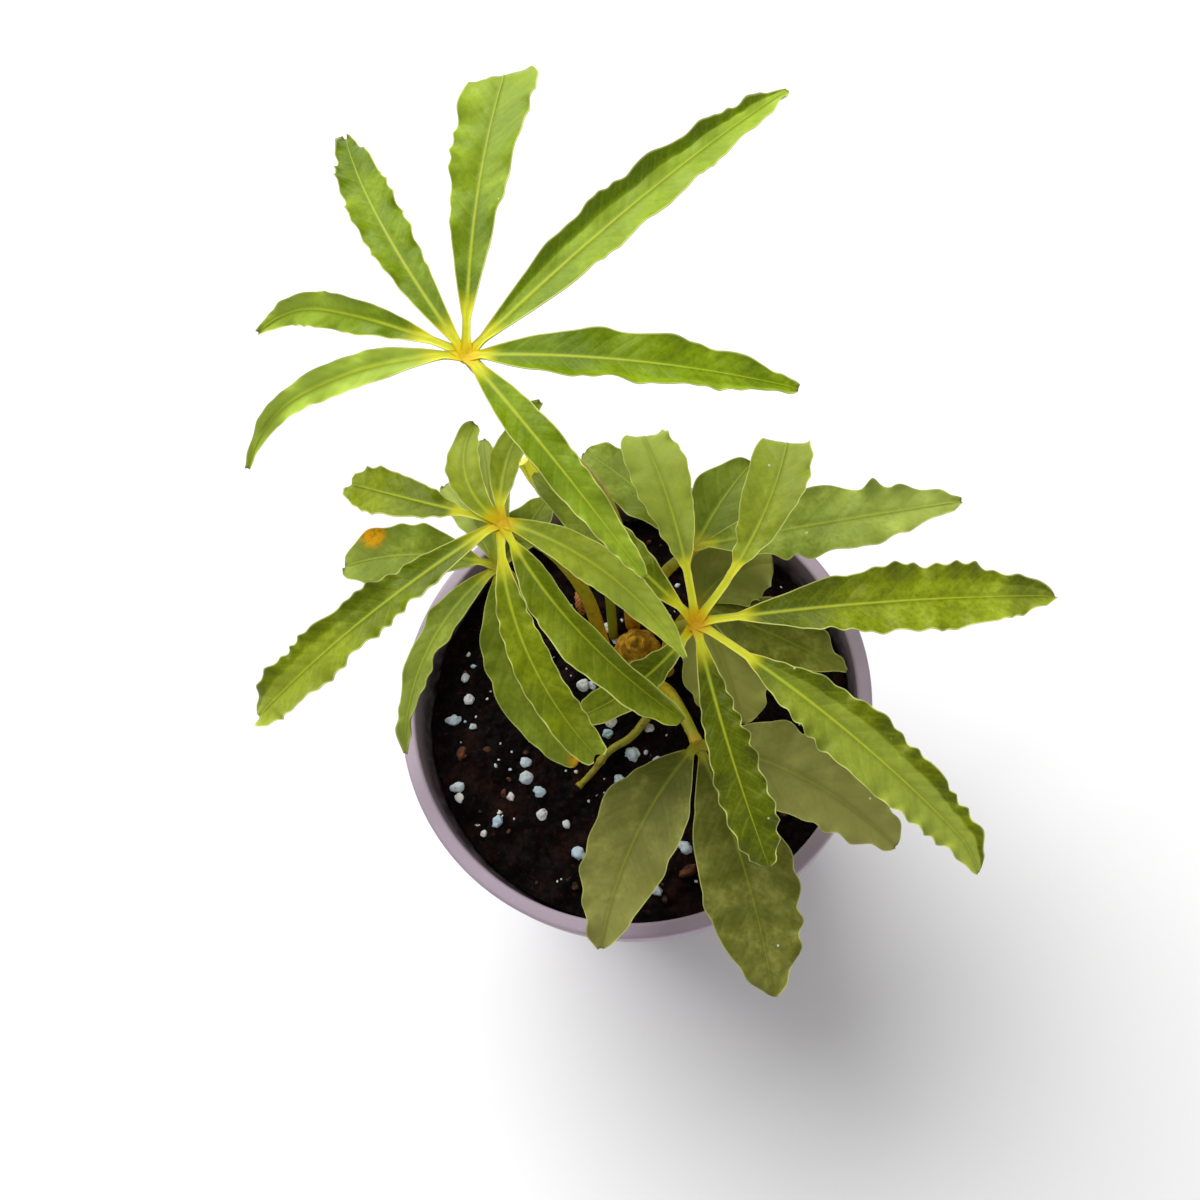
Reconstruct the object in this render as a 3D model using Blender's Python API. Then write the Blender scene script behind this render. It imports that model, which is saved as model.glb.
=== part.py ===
"""A young potted anthurium: a round nursery pot of peat and perlite, and a plant of seven palmate leaves.

The three high leaves have narrow, waved leaflets and the four old, low ones have broad leaflets.
Sizes are in millimetres, and new_object turns them into Blender's metres. +Z is up, +Y is the back
of the plant, and the origin is the middle of the pot's flat base.
"""
import math
import random
from collections import namedtuple

import bmesh
import bpy
import numpy as np

MM = 0.001
CLEARANCE = 0.35
SOIL_GAP = 0.6

# Pot
POT_HEIGHT = 88.0
POT_TOP_RADIUS = 50.0
POT_BASE_RADIUS = 35.5
POT_WALL = 1.6
POT_FLOOR = 2.4
LIP_HEIGHT = 8.5
LIP_OVERHANG = 1.8
LIP_INNER_RADIUS = 46.8
LIP_TAPER = 0.3
EDGE_ROUND = 0.7
POT_SEGMENTS = 48
DRAIN_HOLES = 5
DRAIN_RADIUS = 4.0
DRAIN_CIRCLE = 22.0
DRAIN_SIDES = 16

# Soil
SOIL_TOP = 76.5
SOIL_RINGS = 9
SOIL_SEGMENTS = 36
SOIL_LUMP = 0.6
MOUND_HEIGHT = 1.0
MOUND_REACH = 14.0
HOLE_BOTTOM = 62.0
HOLE_CLEARANCE = 0.45
HOLE_SIDES = 10
SMALL_GRAINS = 10
GRAIN_SEED = 11
GRAIN_SPACING = 5.0
GRAIN_CIRCLE = 41.0
SMALL_GRAIN_WIDTHS = (1.6, 2.4)

# Crown and stalks
CROWN_PLACE = (0.5, 12.5)
CROWN_RADIUS = 3.6
CROWN_HEIGHT = 11.0
CROWN_RINGS = 3
CROWN_SIDES = 14
STALK_CIRCLE = 7.2
STALK_FOOT_RADIUS = 1.6
STALK_TOP_RADIUS = 1.05
STALK_SIDES = 7
STALK_RINGS = 12
HUB_RADIUS = 1.9
OLD_HUB_RADIUS = 1.6
HUB_FLATNESS = 0.6
HUB_SIDES = 10

# Blades
BLADE_THICKNESS = 0.7
NECK_THICKNESS = 1.5
NECK_WIDTH = 1.5
TIP_WIDTH = 0.9
STATION_SPACING = 4.0
EDGE_LAG = 2.1

# How the margins of a leaf's blades wave, and how many columns of points a blade has
Margin = namedtuple("Margin", "wavelength scallop columns")
WAVED = Margin(wavelength=13.0, scallop=0.04, columns=3)
BROAD = Margin(wavelength=14.0, scallop=0.03, columns=5)

# One leaflet: degrees for heading, rise, droop, sweep, roll, cup, curl and hook, millimetres for length,
# width and wave, and shares of the length for neck, belly and curl_from. The heading is counted from +X.
# The blade starts to widen at the neck, is widest at the belly, and is more tapered the larger the point.
# The rise is the slope where it leaves the hub, the droop is how far the slope has fallen at the tip,
# the sweep is how far it has turned sideways, and the curl and the hook are an extra bend down and to
# the left in the last part of the blade, from curl_from on.
Leaflet = namedtuple("Leaflet", "heading length width belly point rise droop sweep roll neck cup wave curl "
                                "curl_from hook", defaults=(0, 0.05, 12, 0.8, 0, 0.85, 0))

# One leaf: where its hub is, the angle round the crown where its stalk stands, and what the stalk goes by.
Leaf = namedtuple("Leaf", "node hub foot via hub_radius margin colour leaflets")

LEAVES = (
    Leaf("leaf_top", hub=(-22.5, 42.5, 158), foot=100,
         via=((0.0, 25.5, 108), (-3.5, 32.0, 125), (-14.0, 39.0, 138)),
         hub_radius=HUB_RADIUS, margin=WAVED, colour="young_green", leaflets=(
             Leaflet(40.5, 83, 9.8, 0.40, 0.65, 12, 32, 8, wave=0.6),
             Leaflet(89, 65, 13.4, 0.80, 0.50, 16, 20, -13, neck=0.10, wave=0.7, curl=140,
                     curl_from=0.80, hook=70),
             Leaflet(125.5, 63.5, 9.4, 0.56, 0.60, 12, 38, -17, wave=0.8),
             Leaflet(152, 50.5, 7.0, 0.58, 0.95, 5, 40, 5, roll=-38, neck=0.14, wave=0.6,
                     curl_from=0.6, hook=35),
             Leaflet(178, 51.5, 6.2, 0.40, 1.10, 5, 45, 25, roll=-28, neck=0.08, wave=0.5,
                     curl_from=0.6, hook=33),
             Leaflet(-8, 59, 10.4, 0.42, 0.65, 12, 34, 2, wave=0.6),
             Leaflet(-53, 51.5, 7.3, 0.42, 0.65, 8, 34, 1, wave=0.5))),
    Leaf("leaf_left", hub=(-18.5, 17.5, 142), foot=180, via=((-8.0, 17.5, 101), (-12.0, 19.5, 121)),
         hub_radius=HUB_RADIUS, margin=WAVED, colour="young_green", leaflets=(
             Leaflet(166.5, 33, 8.2, 0.70, 0.42, 10, 35, -13, roll=-6, neck=0.22, cup=2, wave=0.5),
             Leaflet(-145, 60.5, 9.7, 0.66, 0.50, 5, 40, -4, neck=0.04, cup=9, wave=0.8),
             Leaflet(151, 21.5, 6.4, 0.55, 0.60, 18, 20, -92, wave=0.6),
             Leaflet(95, 25, 6.0, 0.50, 0.80, 12, 20, -43, neck=0.12, wave=0.5),
             Leaflet(-19, 42.5, 7.8, 0.48, 1.10, 4, 20, -38, neck=0.02, wave=0.5),
             Leaflet(-63, 49, 9.8, 0.48, 0.40, 0, 22, 31, roll=32, neck=0.10, cup=24, wave=0.5),
             Leaflet(-91, 47.5, 7.2, 0.55, 0.32, -5, 30, 47, neck=0.14, wave=0.5))),
    Leaf("leaf_right", hub=(15.5, 2.0, 128), foot=330, via=((9.0, 8.5, 100), (12.0, 5.5, 116)),
         hub_radius=HUB_RADIUS, margin=WAVED, colour="young_green", leaflets=(
             Leaflet(96, 42, 11.2, 0.74, 0.55, 18, 25, 18, neck=0.24, wave=0.6, curl=110,
                     curl_from=0.85, hook=-40),
             Leaflet(46, 43, 11.6, 0.76, 0.50, 18, 25, 35, neck=0.28, wave=0.6, curl=110, curl_from=0.85),
             Leaflet(3.5, 66, 13.0, 0.60, 0.75, 10, 28, 1, neck=0.12, wave=0.9),
             Leaflet(-36, 68, 12.0, 0.52, 0.62, 6, 34, -9, neck=0.17, wave=0.9, hook=-25),
             Leaflet(-79, 46, 9.2, 0.74, 0.50, 2, 32, 9, neck=0.08, wave=1.2),
             Leaflet(-127, 29, 8.0, 0.66, 0.45, -12, 20, -42, neck=0.12, wave=0.5),
             Leaflet(135, 43, 8.5, 0.55, 0.70, 15, 22, 1, neck=0.10, wave=0.6))),
    Leaf("leaf_front", hub=(14.5, -15.5, 107), foot=285, via=((7.5, 0.0, 92), (11.5, -8.0, 101)),
         hub_radius=OLD_HUB_RADIUS, margin=BROAD, colour="old_green", leaflets=(
             Leaflet(-131, 44, 17.0, 0.44, 0.80, 10, 40, 28, wave=0.5),
             Leaflet(-67, 49, 18.3, 0.56, 0.78, 5, 25, -15, wave=0.7),
             Leaflet(-12, 42.5, 16.5, 0.38, 0.60, 12, 30, -33, wave=0.6))),
    Leaf("leaf_middle", hub=(15.0, 15.5, 100), foot=15, via=((11.0, 15.5, 91),),
         hub_radius=OLD_HUB_RADIUS, margin=BROAD, colour="old_green", leaflets=(
             Leaflet(60, 19, 18.5, 0.50, 0.50, 16, 35, -58, wave=0.3),
             Leaflet(-25, 33, 14.0, 0.50, 1.30, 10, 30, -1, wave=0.5),
             Leaflet(-67, 26, 18.0, 0.48, 0.60, 0, 30, -8, wave=0.4))),
    Leaf("leaf_back", hub=(15.0, 25.0, 109), foot=60, via=((7.0, 23.0, 97),),
         hub_radius=OLD_HUB_RADIUS, margin=BROAD, colour="old_green", leaflets=(
             Leaflet(3, 53.5, 14.0, 0.48, 0.95, 15, 25, 8, cup=8, wave=1.1),
             Leaflet(62, 22, 13.0, 0.50, 0.60, 12, 30, -9, wave=0.6),
             Leaflet(131, 33, 11.5, 0.55, 0.55, 12, 30, 8, wave=0.6))),
    Leaf("leaf_side", hub=(-24.5, 20.5, 113), foot=222, via=((-10.0, 11.5, 89), (-17.0, 16.0, 100)),
         hub_radius=OLD_HUB_RADIUS, margin=WAVED, colour="old_green", leaflets=(
             Leaflet(164, 34.5, 13.0, 0.60, 0.42, 10, 35, 22, neck=0.12, wave=0.5),
             Leaflet(-142, 44.5, 7.4, 0.38, 0.90, 5, 45, 45, roll=20, wave=0.5),
             Leaflet(-90, 44, 12.0, 0.50, 0.65, 0, 25, 43),
             Leaflet(107, 23, 8.0, 0.60, 0.60, 10, 25, 32, wave=0.4),
             Leaflet(97, 27, 9.0, 0.55, 0.80, 20, 20, 1, wave=0.6),
             Leaflet(58, 20, 8.5, 0.55, 0.70, -3, 25, 10, wave=0.4))),
)

# New leaf: a tight roll on its own stalk
NEW_LEAF_FOOT = 140
NEW_LEAF_ROUTE = ((-5.0, 25.0, 94), (-8.5, 30.0, 104), (-12.5, 34.0, 114), (-18.5, 39.5, 122))
NEW_LEAF_RADIUS = 2.5
NEW_LEAF_OVERLAP = 0.16
NEW_LEAF_TWIST = 300
NEW_LEAF_STATIONS = 20

# Old stalk along the soil, and the curled dry sheath
OLD_STALK_ROUTE = ((2.5, -2.0), (-1.5, -6.5), (-6.0, -9.5), (-9.5, -13.5), (-12.5, -17.0))
OLD_STALK_RADIUS = 1.1
OLD_STALK_TAPER = 0.35
SHEATH_PLACE = (-11.5, 25.5)

# The largest perlite grains and bits of bark: place and width
LARGE_GRAINS = ((-41.0, -1.0, 3.4), (-37.5, 3.5, 2.4), (-24.0, -14.5, 3.2), (-27.5, -18.5, 2.2),
                (-39.0, -16.5, 3.0), (-38.5, -9.0, 2.4), (-30.0, -24.0, 2.8), (-20.5, -22.5, 2.6),
                (-12.5, -31.0, 3.0), (10.0, -30.0, 3.2), (10.5, -35.0, 2.8), (-11.5, 17.5, 2.6),
                (-12.0, 6.0, 3.0), (-5.5, -2.5, 2.8), (4.0, -39.0, 2.6), (13.5, 9.5, 3.0))

COLOURS = {
    "pot_plastic": ("#B9A9B8", 0.45),
    "peat": ("#1A120D", 0.95),
    "crown_tan": ("#8A7429", 0.6),
    "young_green": ("#7E9427", 0.45),
    "old_green": ("#6E7337", 0.5),
    "new_yellow": ("#D2D43A", 0.4),
    "stalk_green": ("#8C8A2A", 0.55),
    "dry_brown": ("#8A5818", 0.8),
}


def linear(channel):
    """An sRGB channel from 0 to 1 as linear light."""
    return channel / 12.92 if channel <= 0.04045 else ((channel + 0.055) / 1.055) ** 2.4


def new_material(name):
    """The Principled material of one of COLOURS."""
    if name in bpy.data.materials:
        return bpy.data.materials[name]
    code, roughness = COLOURS[name]
    rgb = [linear(int(code[i:i + 2], 16) / 255) for i in (1, 3, 5)]
    material = bpy.data.materials.new(name)
    material.use_nodes = True
    shader = material.node_tree.nodes["Principled BSDF"]
    shader.inputs["Base Color"].default_value = (*rgb, 1)
    shader.inputs["Roughness"].default_value = roughness
    shader.inputs["Metallic"].default_value = 0
    return material


def new_object(name, points, faces, colour=None, sharp=40):
    """An object from points in millimetres and faces whose corners run counterclockwise from outside."""
    mesh = bpy.data.meshes.new(name)
    mesh.from_pydata((np.asarray(points, float) * MM).tolist(), [], [list(f) for f in faces])
    mesh.validate()
    mesh.shade_smooth()
    mesh.set_sharp_from_angle(angle=math.radians(sharp))
    if colour:
        mesh.materials.append(new_material(colour))
    item = bpy.data.objects.new(name, mesh)
    bpy.context.scene.collection.objects.link(item)
    return item


def combine(target, tools, operation):
    """Joins tools to target, or cuts them from it, by one Boolean on their collection, and removes them."""
    group = bpy.data.collections.new(target.name + "_tools")
    bpy.context.scene.collection.children.link(group)
    for tool in tools:
        bpy.context.scene.collection.objects.unlink(tool)
        group.objects.link(tool)
        tool.hide_render = True
        tool.display_type = "WIRE"
    boolean = target.modifiers.new("combine", "BOOLEAN")
    boolean.operation = operation
    boolean.operand_type = "COLLECTION"
    boolean.collection = group
    boolean.solver = "EXACT"
    graph = bpy.context.evaluated_depsgraph_get()
    mesh = bpy.data.meshes.new_from_object(target.evaluated_get(graph))
    target.modifiers.clear()
    target.data = mesh
    for tool in tools:
        bpy.data.objects.remove(tool)
    bpy.data.collections.remove(group)


def turned(profile, segments, centre=(0, 0)):
    """Points and faces of a profile of (radius, height) turned round +Z. It starts and ends on the axis."""
    inner = np.array(profile[1:-1], float)
    angle = np.arange(segments) * 2 * math.pi / segments
    ring = np.stack([np.cos(angle), np.sin(angle)], 1)
    body = np.empty((len(inner), segments, 3))
    body[..., :2] = inner[:, None, :1] * ring
    body[..., 2] = inner[:, None, 1]
    points = np.vstack([[0, 0, profile[0][1]], [0, 0, profile[-1][1]], body.reshape(-1, 3)])
    points[:, :2] += centre

    def at(row, k):
        return 2 + row * segments + k % segments

    last = len(inner) - 1
    faces = [(0, at(0, k + 1), at(0, k)) for k in range(segments)]
    for row in range(last):
        faces += [(at(row, k), at(row, k + 1), at(row + 1, k + 1), at(row + 1, k)) for k in range(segments)]
    faces += [(1, at(last, k), at(last, k + 1)) for k in range(segments)]
    return points, faces


def wall_radius(height):
    """Outer radius of the pot's tapered wall at a height."""
    return np.interp(height, (EDGE_ROUND, POT_HEIGHT - LIP_HEIGHT),
                     (POT_BASE_RADIUS, POT_TOP_RADIUS - LIP_OVERHANG))


def make_pot():
    """The pot: tapered wall, straight lip band with rounded edges, flat base with drain holes."""
    band = POT_HEIGHT - LIP_HEIGHT
    profile = [
        (0, 0),
        (POT_BASE_RADIUS - EDGE_ROUND, 0),
        (POT_BASE_RADIUS, EDGE_ROUND),
        (wall_radius(band), band),
        (POT_TOP_RADIUS - LIP_TAPER - EDGE_ROUND / 2, band),
        (POT_TOP_RADIUS - LIP_TAPER, band + EDGE_ROUND / 2),
        (POT_TOP_RADIUS, POT_HEIGHT - EDGE_ROUND),
        (POT_TOP_RADIUS - EDGE_ROUND, POT_HEIGHT),
        (LIP_INNER_RADIUS + EDGE_ROUND, POT_HEIGHT),
        (LIP_INNER_RADIUS, POT_HEIGHT - EDGE_ROUND),
        (wall_radius(band) - POT_WALL, band),
        (wall_radius(POT_FLOOR) - POT_WALL, POT_FLOOR),
        (0, POT_FLOOR),
    ]
    pot = new_object("pot", *turned(profile, POT_SEGMENTS), "pot_plastic")
    drains = []
    for k in range(DRAIN_HOLES):
        angle = 2 * math.pi * k / DRAIN_HOLES
        place = (DRAIN_CIRCLE * math.cos(angle), DRAIN_CIRCLE * math.sin(angle))
        drains.append(rod("drain", place, DRAIN_RADIUS, -1, POT_FLOOR + 1, DRAIN_SIDES))
    combine(pot, drains, "DIFFERENCE")


def rod(name, place, radius, bottom, top, segments):
    """An upright cylinder, used as a cutter."""
    profile = [(0, bottom), (radius, bottom), (radius, top), (0, top)]
    return new_object(name, *turned(profile, segments, place))


def soil_height(x, y):
    """Height of the uneven soil: three low waves that cross, and a slight mound round the crown."""
    lumps = (np.sin(0.31 * x + 0.8) * np.sin(0.27 * y - 0.4) + 0.5 * np.sin(0.53 * x - 0.45 * y)
             + 0.4 * np.sin(0.22 * x + 0.61 * y + 1.9))
    away = np.hypot(x - CROWN_PLACE[0], y - CROWN_PLACE[1])
    return SOIL_TOP + SOIL_LUMP * lumps + MOUND_HEIGHT * np.exp(-(away / MOUND_REACH) ** 2)


def soil_body():
    """Points and faces of the soil: a polar grid for the top, then down the pot's wall to its floor."""
    top_radius = wall_radius(SOIL_TOP) - POT_WALL - SOIL_GAP
    floor = POT_FLOOR + CLEARANCE
    profile = [(0, floor), (wall_radius(floor) - POT_WALL - SOIL_GAP, floor)]
    profile += [(top_radius * k / SOIL_RINGS, SOIL_TOP) for k in range(SOIL_RINGS, 0, -1)]
    profile.append((0, SOIL_TOP))
    points, faces = turned(profile, SOIL_SEGMENTS)
    top = points[:, 2] > floor + 1
    points[top, 2] = soil_height(points[top, 0], points[top, 1])
    return points, faces


def grain(name, x, y, width, draw):
    """One grain: an icosahedron with uneven sides, sunk a third of its height into the soil."""
    ball = bmesh.new()
    bmesh.ops.create_icosphere(ball, subdivisions=1, radius=0.5)
    stretch = np.array([draw.uniform(0.85, 1.15), draw.uniform(0.75, 1.0), draw.uniform(0.65, 0.85)])
    turn = draw.uniform(0, math.pi)
    points = np.array([v.co for v in ball.verts]) * stretch * width
    points *= np.array([draw.uniform(0.88, 1.08) for _ in ball.verts])[:, None]
    faces = [[v.index for v in f.verts] for f in ball.faces]
    ball.free()
    spin = np.array([[math.cos(turn), math.sin(turn), 0], [-math.sin(turn), math.cos(turn), 0], [0, 0, 1]])
    centre = (x, y, float(soil_height(x, y)) + 0.1 * width)
    return new_object(name, points @ spin + centre, faces)


def foot_place(angle):
    """Where a stalk stands in the soil, at an angle round the crown."""
    turn = math.radians(angle)
    return CROWN_PLACE[0] + STALK_CIRCLE * math.cos(turn), CROWN_PLACE[1] + STALK_CIRCLE * math.sin(turn)


def clear_of_pieces(x, y, others):
    """Whether a small grain at x, y keeps its distance from the crown, the old stalk and the other grains."""
    if math.hypot(x - CROWN_PLACE[0], y - CROWN_PLACE[1]) < STALK_CIRCLE + GRAIN_SPACING:
        return False
    if math.hypot(x - SHEATH_PLACE[0], y - SHEATH_PLACE[1]) < 2 * GRAIN_SPACING:
        return False
    if any(math.hypot(x - px, y - py) < GRAIN_SPACING for px, py in OLD_STALK_ROUTE):
        return False
    return all(math.hypot(x - px, y - py) > GRAIN_SPACING for px, py, _ in others)


def make_soil():
    """The soil with its grains, and a plain hole for the crown and for each stalk."""
    draw = random.Random(GRAIN_SEED)
    grains = list(LARGE_GRAINS)
    while len(grains) < len(LARGE_GRAINS) + SMALL_GRAINS:
        distance = GRAIN_CIRCLE * math.sqrt(draw.random())
        angle = draw.uniform(0, 2 * math.pi)
        x, y = distance * math.cos(angle), distance * math.sin(angle)
        if clear_of_pieces(x, y, grains):
            grains.append((x, y, draw.uniform(*SMALL_GRAIN_WIDTHS)))
    soil = new_object("soil", *soil_body(), "peat")
    combine(soil, [grain("grain", *g, draw) for g in grains], "UNION")
    above = SOIL_TOP + 9
    holes = [rod("hole", CROWN_PLACE, CROWN_RADIUS + HOLE_CLEARANCE, HOLE_BOTTOM, above, CROWN_SIDES)]
    for angle in [leaf.foot for leaf in LEAVES] + [NEW_LEAF_FOOT]:
        radius = STALK_FOOT_RADIUS + HOLE_CLEARANCE
        holes.append(rod("hole", foot_place(angle), radius, HOLE_BOTTOM, above, HOLE_SIDES))
    combine(soil, holes, "DIFFERENCE")


def make_crown():
    """The short stem, with the rings that old leaves left, standing in its hole."""
    ring_radius = STALK_CIRCLE - STALK_FOOT_RADIUS - CLEARANCE
    collar = SOIL_TOP + 2.8
    profile = [(0, HOLE_BOTTOM + CLEARANCE), (CROWN_RADIUS, HOLE_BOTTOM + CLEARANCE), (CROWN_RADIUS, collar)]
    for k in range(CROWN_RINGS):
        low = collar + k * CROWN_HEIGHT / (CROWN_RINGS + 1)
        shrink = 1 - 0.22 * k
        profile.append((ring_radius * shrink, low + 0.9))
        profile.append((ring_radius * shrink * 0.84, low + 2.4))
    tip = SOIL_TOP + CROWN_HEIGHT + 1.5
    profile += [(1.2, tip - 0.6), (0, tip)]
    new_object("crown", *turned(profile, CROWN_SIDES, CROWN_PLACE), "crown_tan")


def smooth_curve(route, count, start=None):
    """Points along the Catmull-Rom curve through the route, which may leave along a given start tangent."""
    route = np.asarray(route, float)
    before = 2 * route[0] - route[1] if start is None else route[1] - 2 * np.asarray(start, float)
    ends = np.vstack([before, route, 2 * route[-1] - route[-2]])
    place = np.linspace(0, len(route) - 1, count)
    span = np.minimum(place.astype(int), len(route) - 2)
    t = (place - span)[:, None]
    a, b, c, d = (ends[span + k] for k in range(4))
    square = 2 * a - 5 * b + 4 * c - d
    cube = 3 * b - 3 * c + d - a
    return 0.5 * (2 * b + (c - a) * t + square * t ** 2 + cube * t ** 3)


def tube(path, radii, sides, overlap=0.0, twist=0.0):
    """Points and faces of a tube round a path.

    Each ring stands square to the path. With an overlap, the radius falls by that share once round
    the ring, as a rolled sheet's does, and the step turns by twist degrees from one end to the other.
    """
    path = np.asarray(path, float)
    ahead = np.gradient(path, axis=0)
    ahead /= np.linalg.norm(ahead, axis=1)[:, None]
    reference = np.array([0.9, -0.43, 0.05])
    across = reference - ahead * (ahead @ reference)[:, None]
    across /= np.linalg.norm(across, axis=1)[:, None]
    upright = np.cross(ahead, across)
    angle = np.arange(sides) * 2 * math.pi / sides
    step = np.radians(twist) * np.linspace(0, 1, len(path))
    share = ((angle[None] - step[:, None]) / (2 * math.pi)) % 1.0
    reach = np.asarray(radii, float)[:, None] * (1 - overlap * share)
    rings = (path[:, None] + reach[..., None] * (np.cos(angle)[None, :, None] * across[:, None]
                                                 + np.sin(angle)[None, :, None] * upright[:, None]))
    points = np.vstack([path[:1], path[-1:], rings.reshape(-1, 3)])
    rows = len(path)

    def at(row, k):
        return 2 + row * sides + k % sides

    faces = [(0, at(0, k + 1), at(0, k)) for k in range(sides)]
    for row in range(rows - 1):
        faces += [(at(row, k), at(row, k + 1), at(row + 1, k + 1), at(row + 1, k)) for k in range(sides)]
    faces += [(1, at(rows - 1, k), at(rows - 1, k + 1)) for k in range(sides)]
    return points, faces


def smooth_step(value, low, high):
    """0 below low, 1 above high, and a smooth rise between them."""
    t = np.clip((value - low) / (high - low), 0, 1)
    return t * t * (3 - 2 * t)


def half_width(leaflet, t):
    """Half the blade's width along its length: a thin neck, a swell to the belly, and a fall to the tip."""
    swell = np.sqrt(smooth_step(t, leaflet.neck, leaflet.belly))
    fall = 1 - np.clip((t - leaflet.belly) / (1 - leaflet.belly), 0, 1) ** 2
    full = (leaflet.width - NECK_WIDTH) / 2 * swell * fall ** leaflet.point
    return full + (NECK_WIDTH + (TIP_WIDTH - NECK_WIDTH) * smooth_step(t, leaflet.belly, 1)) / 2


def blade(leaflet, margin, hub):
    """Points and faces of one leaflet.

    The midrib leaves the hub at the rise and heading, and its slope and heading change along its
    length. Straight across it lie the two halves of the blade, lifted by the cup, whose edges go in
    and out by the scallop and up and down by the wave. A blade that folds over lies flat there.
    Both faces have the same triangles.
    """
    stations = int(6 + leaflet.length / STATION_SPACING)
    t = np.linspace(0, 1, stations)
    end = smooth_step(t, leaflet.curl_from, 1)
    pitch = np.radians(leaflet.rise - leaflet.droop * t - leaflet.curl * end)
    heading = np.radians(leaflet.heading + leaflet.sweep * t + leaflet.hook * end)
    flat = np.stack([np.cos(heading), np.sin(heading), np.zeros(stations)], 1)
    side = np.stack([-np.sin(heading), np.cos(heading), np.zeros(stations)], 1)
    ahead = flat * np.cos(pitch)[:, None] + np.array([0, 0, 1]) * np.sin(pitch)[:, None]
    lift = np.cross(ahead, side)
    roll = np.radians(leaflet.roll) * smooth_step(t, 0, 0.5)[:, None]
    side, lift = side * np.cos(roll) + lift * np.sin(roll), lift * np.cos(roll) - side * np.sin(roll)
    steps = (ahead[1:] + ahead[:-1]) / 2 * leaflet.length / (stations - 1)
    midrib = np.asarray(hub, float) + np.vstack([np.zeros(3), np.cumsum(steps, 0)])

    columns = np.linspace(-1, 1, margin.columns)
    edge = np.abs(columns)
    phase = 2 * math.pi * leaflet.length / margin.wavelength * t[:, None] + EDGE_LAG * (columns > 0)
    alive = smooth_step(t, 0.15, 0.4)[:, None]
    width = half_width(leaflet, t)[:, None] * (1 + margin.scallop * alive * np.sin(phase))
    fold = min(leaflet.curl / 90, 1) * smooth_step(t, leaflet.curl_from - 0.15, leaflet.curl_from + 0.05)
    cup = math.radians(leaflet.cup) * (1 - fold)[:, None]
    out = columns * width * np.cos(cup)
    up = edge * width * np.sin(cup) + leaflet.wave * edge ** 2 * alive * np.sin(phase + 1.3)
    middle = midrib[:, None] + side[:, None] * out[..., None] + lift[:, None] * up[..., None]
    thick = BLADE_THICKNESS + (NECK_THICKNESS - BLADE_THICKNESS) * (1 - smooth_step(t, 0.05, 0.3))
    half = lift[:, None] * (thick / 2)[:, None, None]
    points = np.concatenate([(middle + half).reshape(-1, 3), (middle - half).reshape(-1, 3)])
    return points, blade_faces(stations, margin.columns)


def blade_faces(rows, columns):
    """Triangles of a thin sheet: the same split on the top and the underside, and a rim between them."""
    under = rows * columns

    def at(i, j):
        return i * columns + j

    faces = []
    for i in range(rows - 1):
        for j in range(columns - 1):
            a, b, c, d = at(i, j), at(i + 1, j), at(i + 1, j + 1), at(i, j + 1)
            faces += [(a, b, c), (a, c, d)]
            faces += [(c + under, b + under, a + under), (d + under, c + under, a + under)]
    rim = [at(i, 0) for i in range(rows)]
    rim += [at(rows - 1, j) for j in range(1, columns)]
    rim += [at(i, columns - 1) for i in range(rows - 2, -1, -1)]
    rim += [at(0, j) for j in range(columns - 2, 0, -1)]
    for a, b in zip(rim, rim[1:] + rim[:1]):
        faces += [(a + under, b + under, b), (a + under, b, a)]
    return faces


def stalk_path(foot, via, end, count):
    """A stalk's line: straight up out of its hole, then a smooth curve by way of via to its end."""
    x, y = foot_place(foot)
    above = smooth_curve([(x, y, SOIL_TOP + 2), *via, end], count - 1, start=(0, 0, 8))
    return np.vstack([(x, y, HOLE_BOTTOM + CLEARANCE), above])


def make_leaf(leaf):
    """One leaf: its stalk, the small hub where the leaflets meet, and the leaflets, joined in one body."""
    path = stalk_path(leaf.foot, leaf.via, leaf.hub, STALK_RINGS)
    radii = np.linspace(STALK_FOOT_RADIUS, STALK_TOP_RADIUS, STALK_RINGS)
    stalk = new_object(leaf.node, *tube(path, radii, STALK_SIDES), leaf.colour)
    profile = [(leaf.hub_radius * math.cos(a), leaf.hub[2] + HUB_FLATNESS * leaf.hub_radius * math.sin(a))
               for a in np.radians((-90, -50, 0, 50, 90))]
    tools = [new_object("hub", *turned(profile, HUB_SIDES, leaf.hub[:2]))]
    tools += [new_object("leaflet", *blade(leaflet, leaf.margin, leaf.hub)) for leaflet in leaf.leaflets]
    combine(stalk, tools, "UNION")


def make_new_leaf():
    """The new leaf: a slim stalk that swells into a tight roll with a blunt end."""
    path = stalk_path(NEW_LEAF_FOOT, NEW_LEAF_ROUTE[:-1], NEW_LEAF_ROUTE[-1], NEW_LEAF_STATIONS)
    t = np.linspace(0, 1, NEW_LEAF_STATIONS)
    radii = STALK_TOP_RADIUS + (NEW_LEAF_RADIUS - STALK_TOP_RADIUS) * smooth_step(t, 0.60, 0.85)
    radii = radii * (1 - 0.3 * smooth_step(t, 0.9, 1))
    new_object("leaf_new", *tube(path, radii, 10, NEW_LEAF_OVERLAP, NEW_LEAF_TWIST), "new_yellow")


def make_old_stalk():
    """The stalk of a lost leaf, lying along the soil."""
    flat = smooth_curve(OLD_STALK_ROUTE, STALK_RINGS)
    radii = OLD_STALK_RADIUS * (1 - OLD_STALK_TAPER * np.linspace(0, 1, STALK_RINGS))
    height = soil_height(flat[:, 0], flat[:, 1]) + radii + SOIL_GAP
    new_object("old_stalk", *tube(np.column_stack([flat, height]), radii, STALK_SIDES), "stalk_green")


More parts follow.
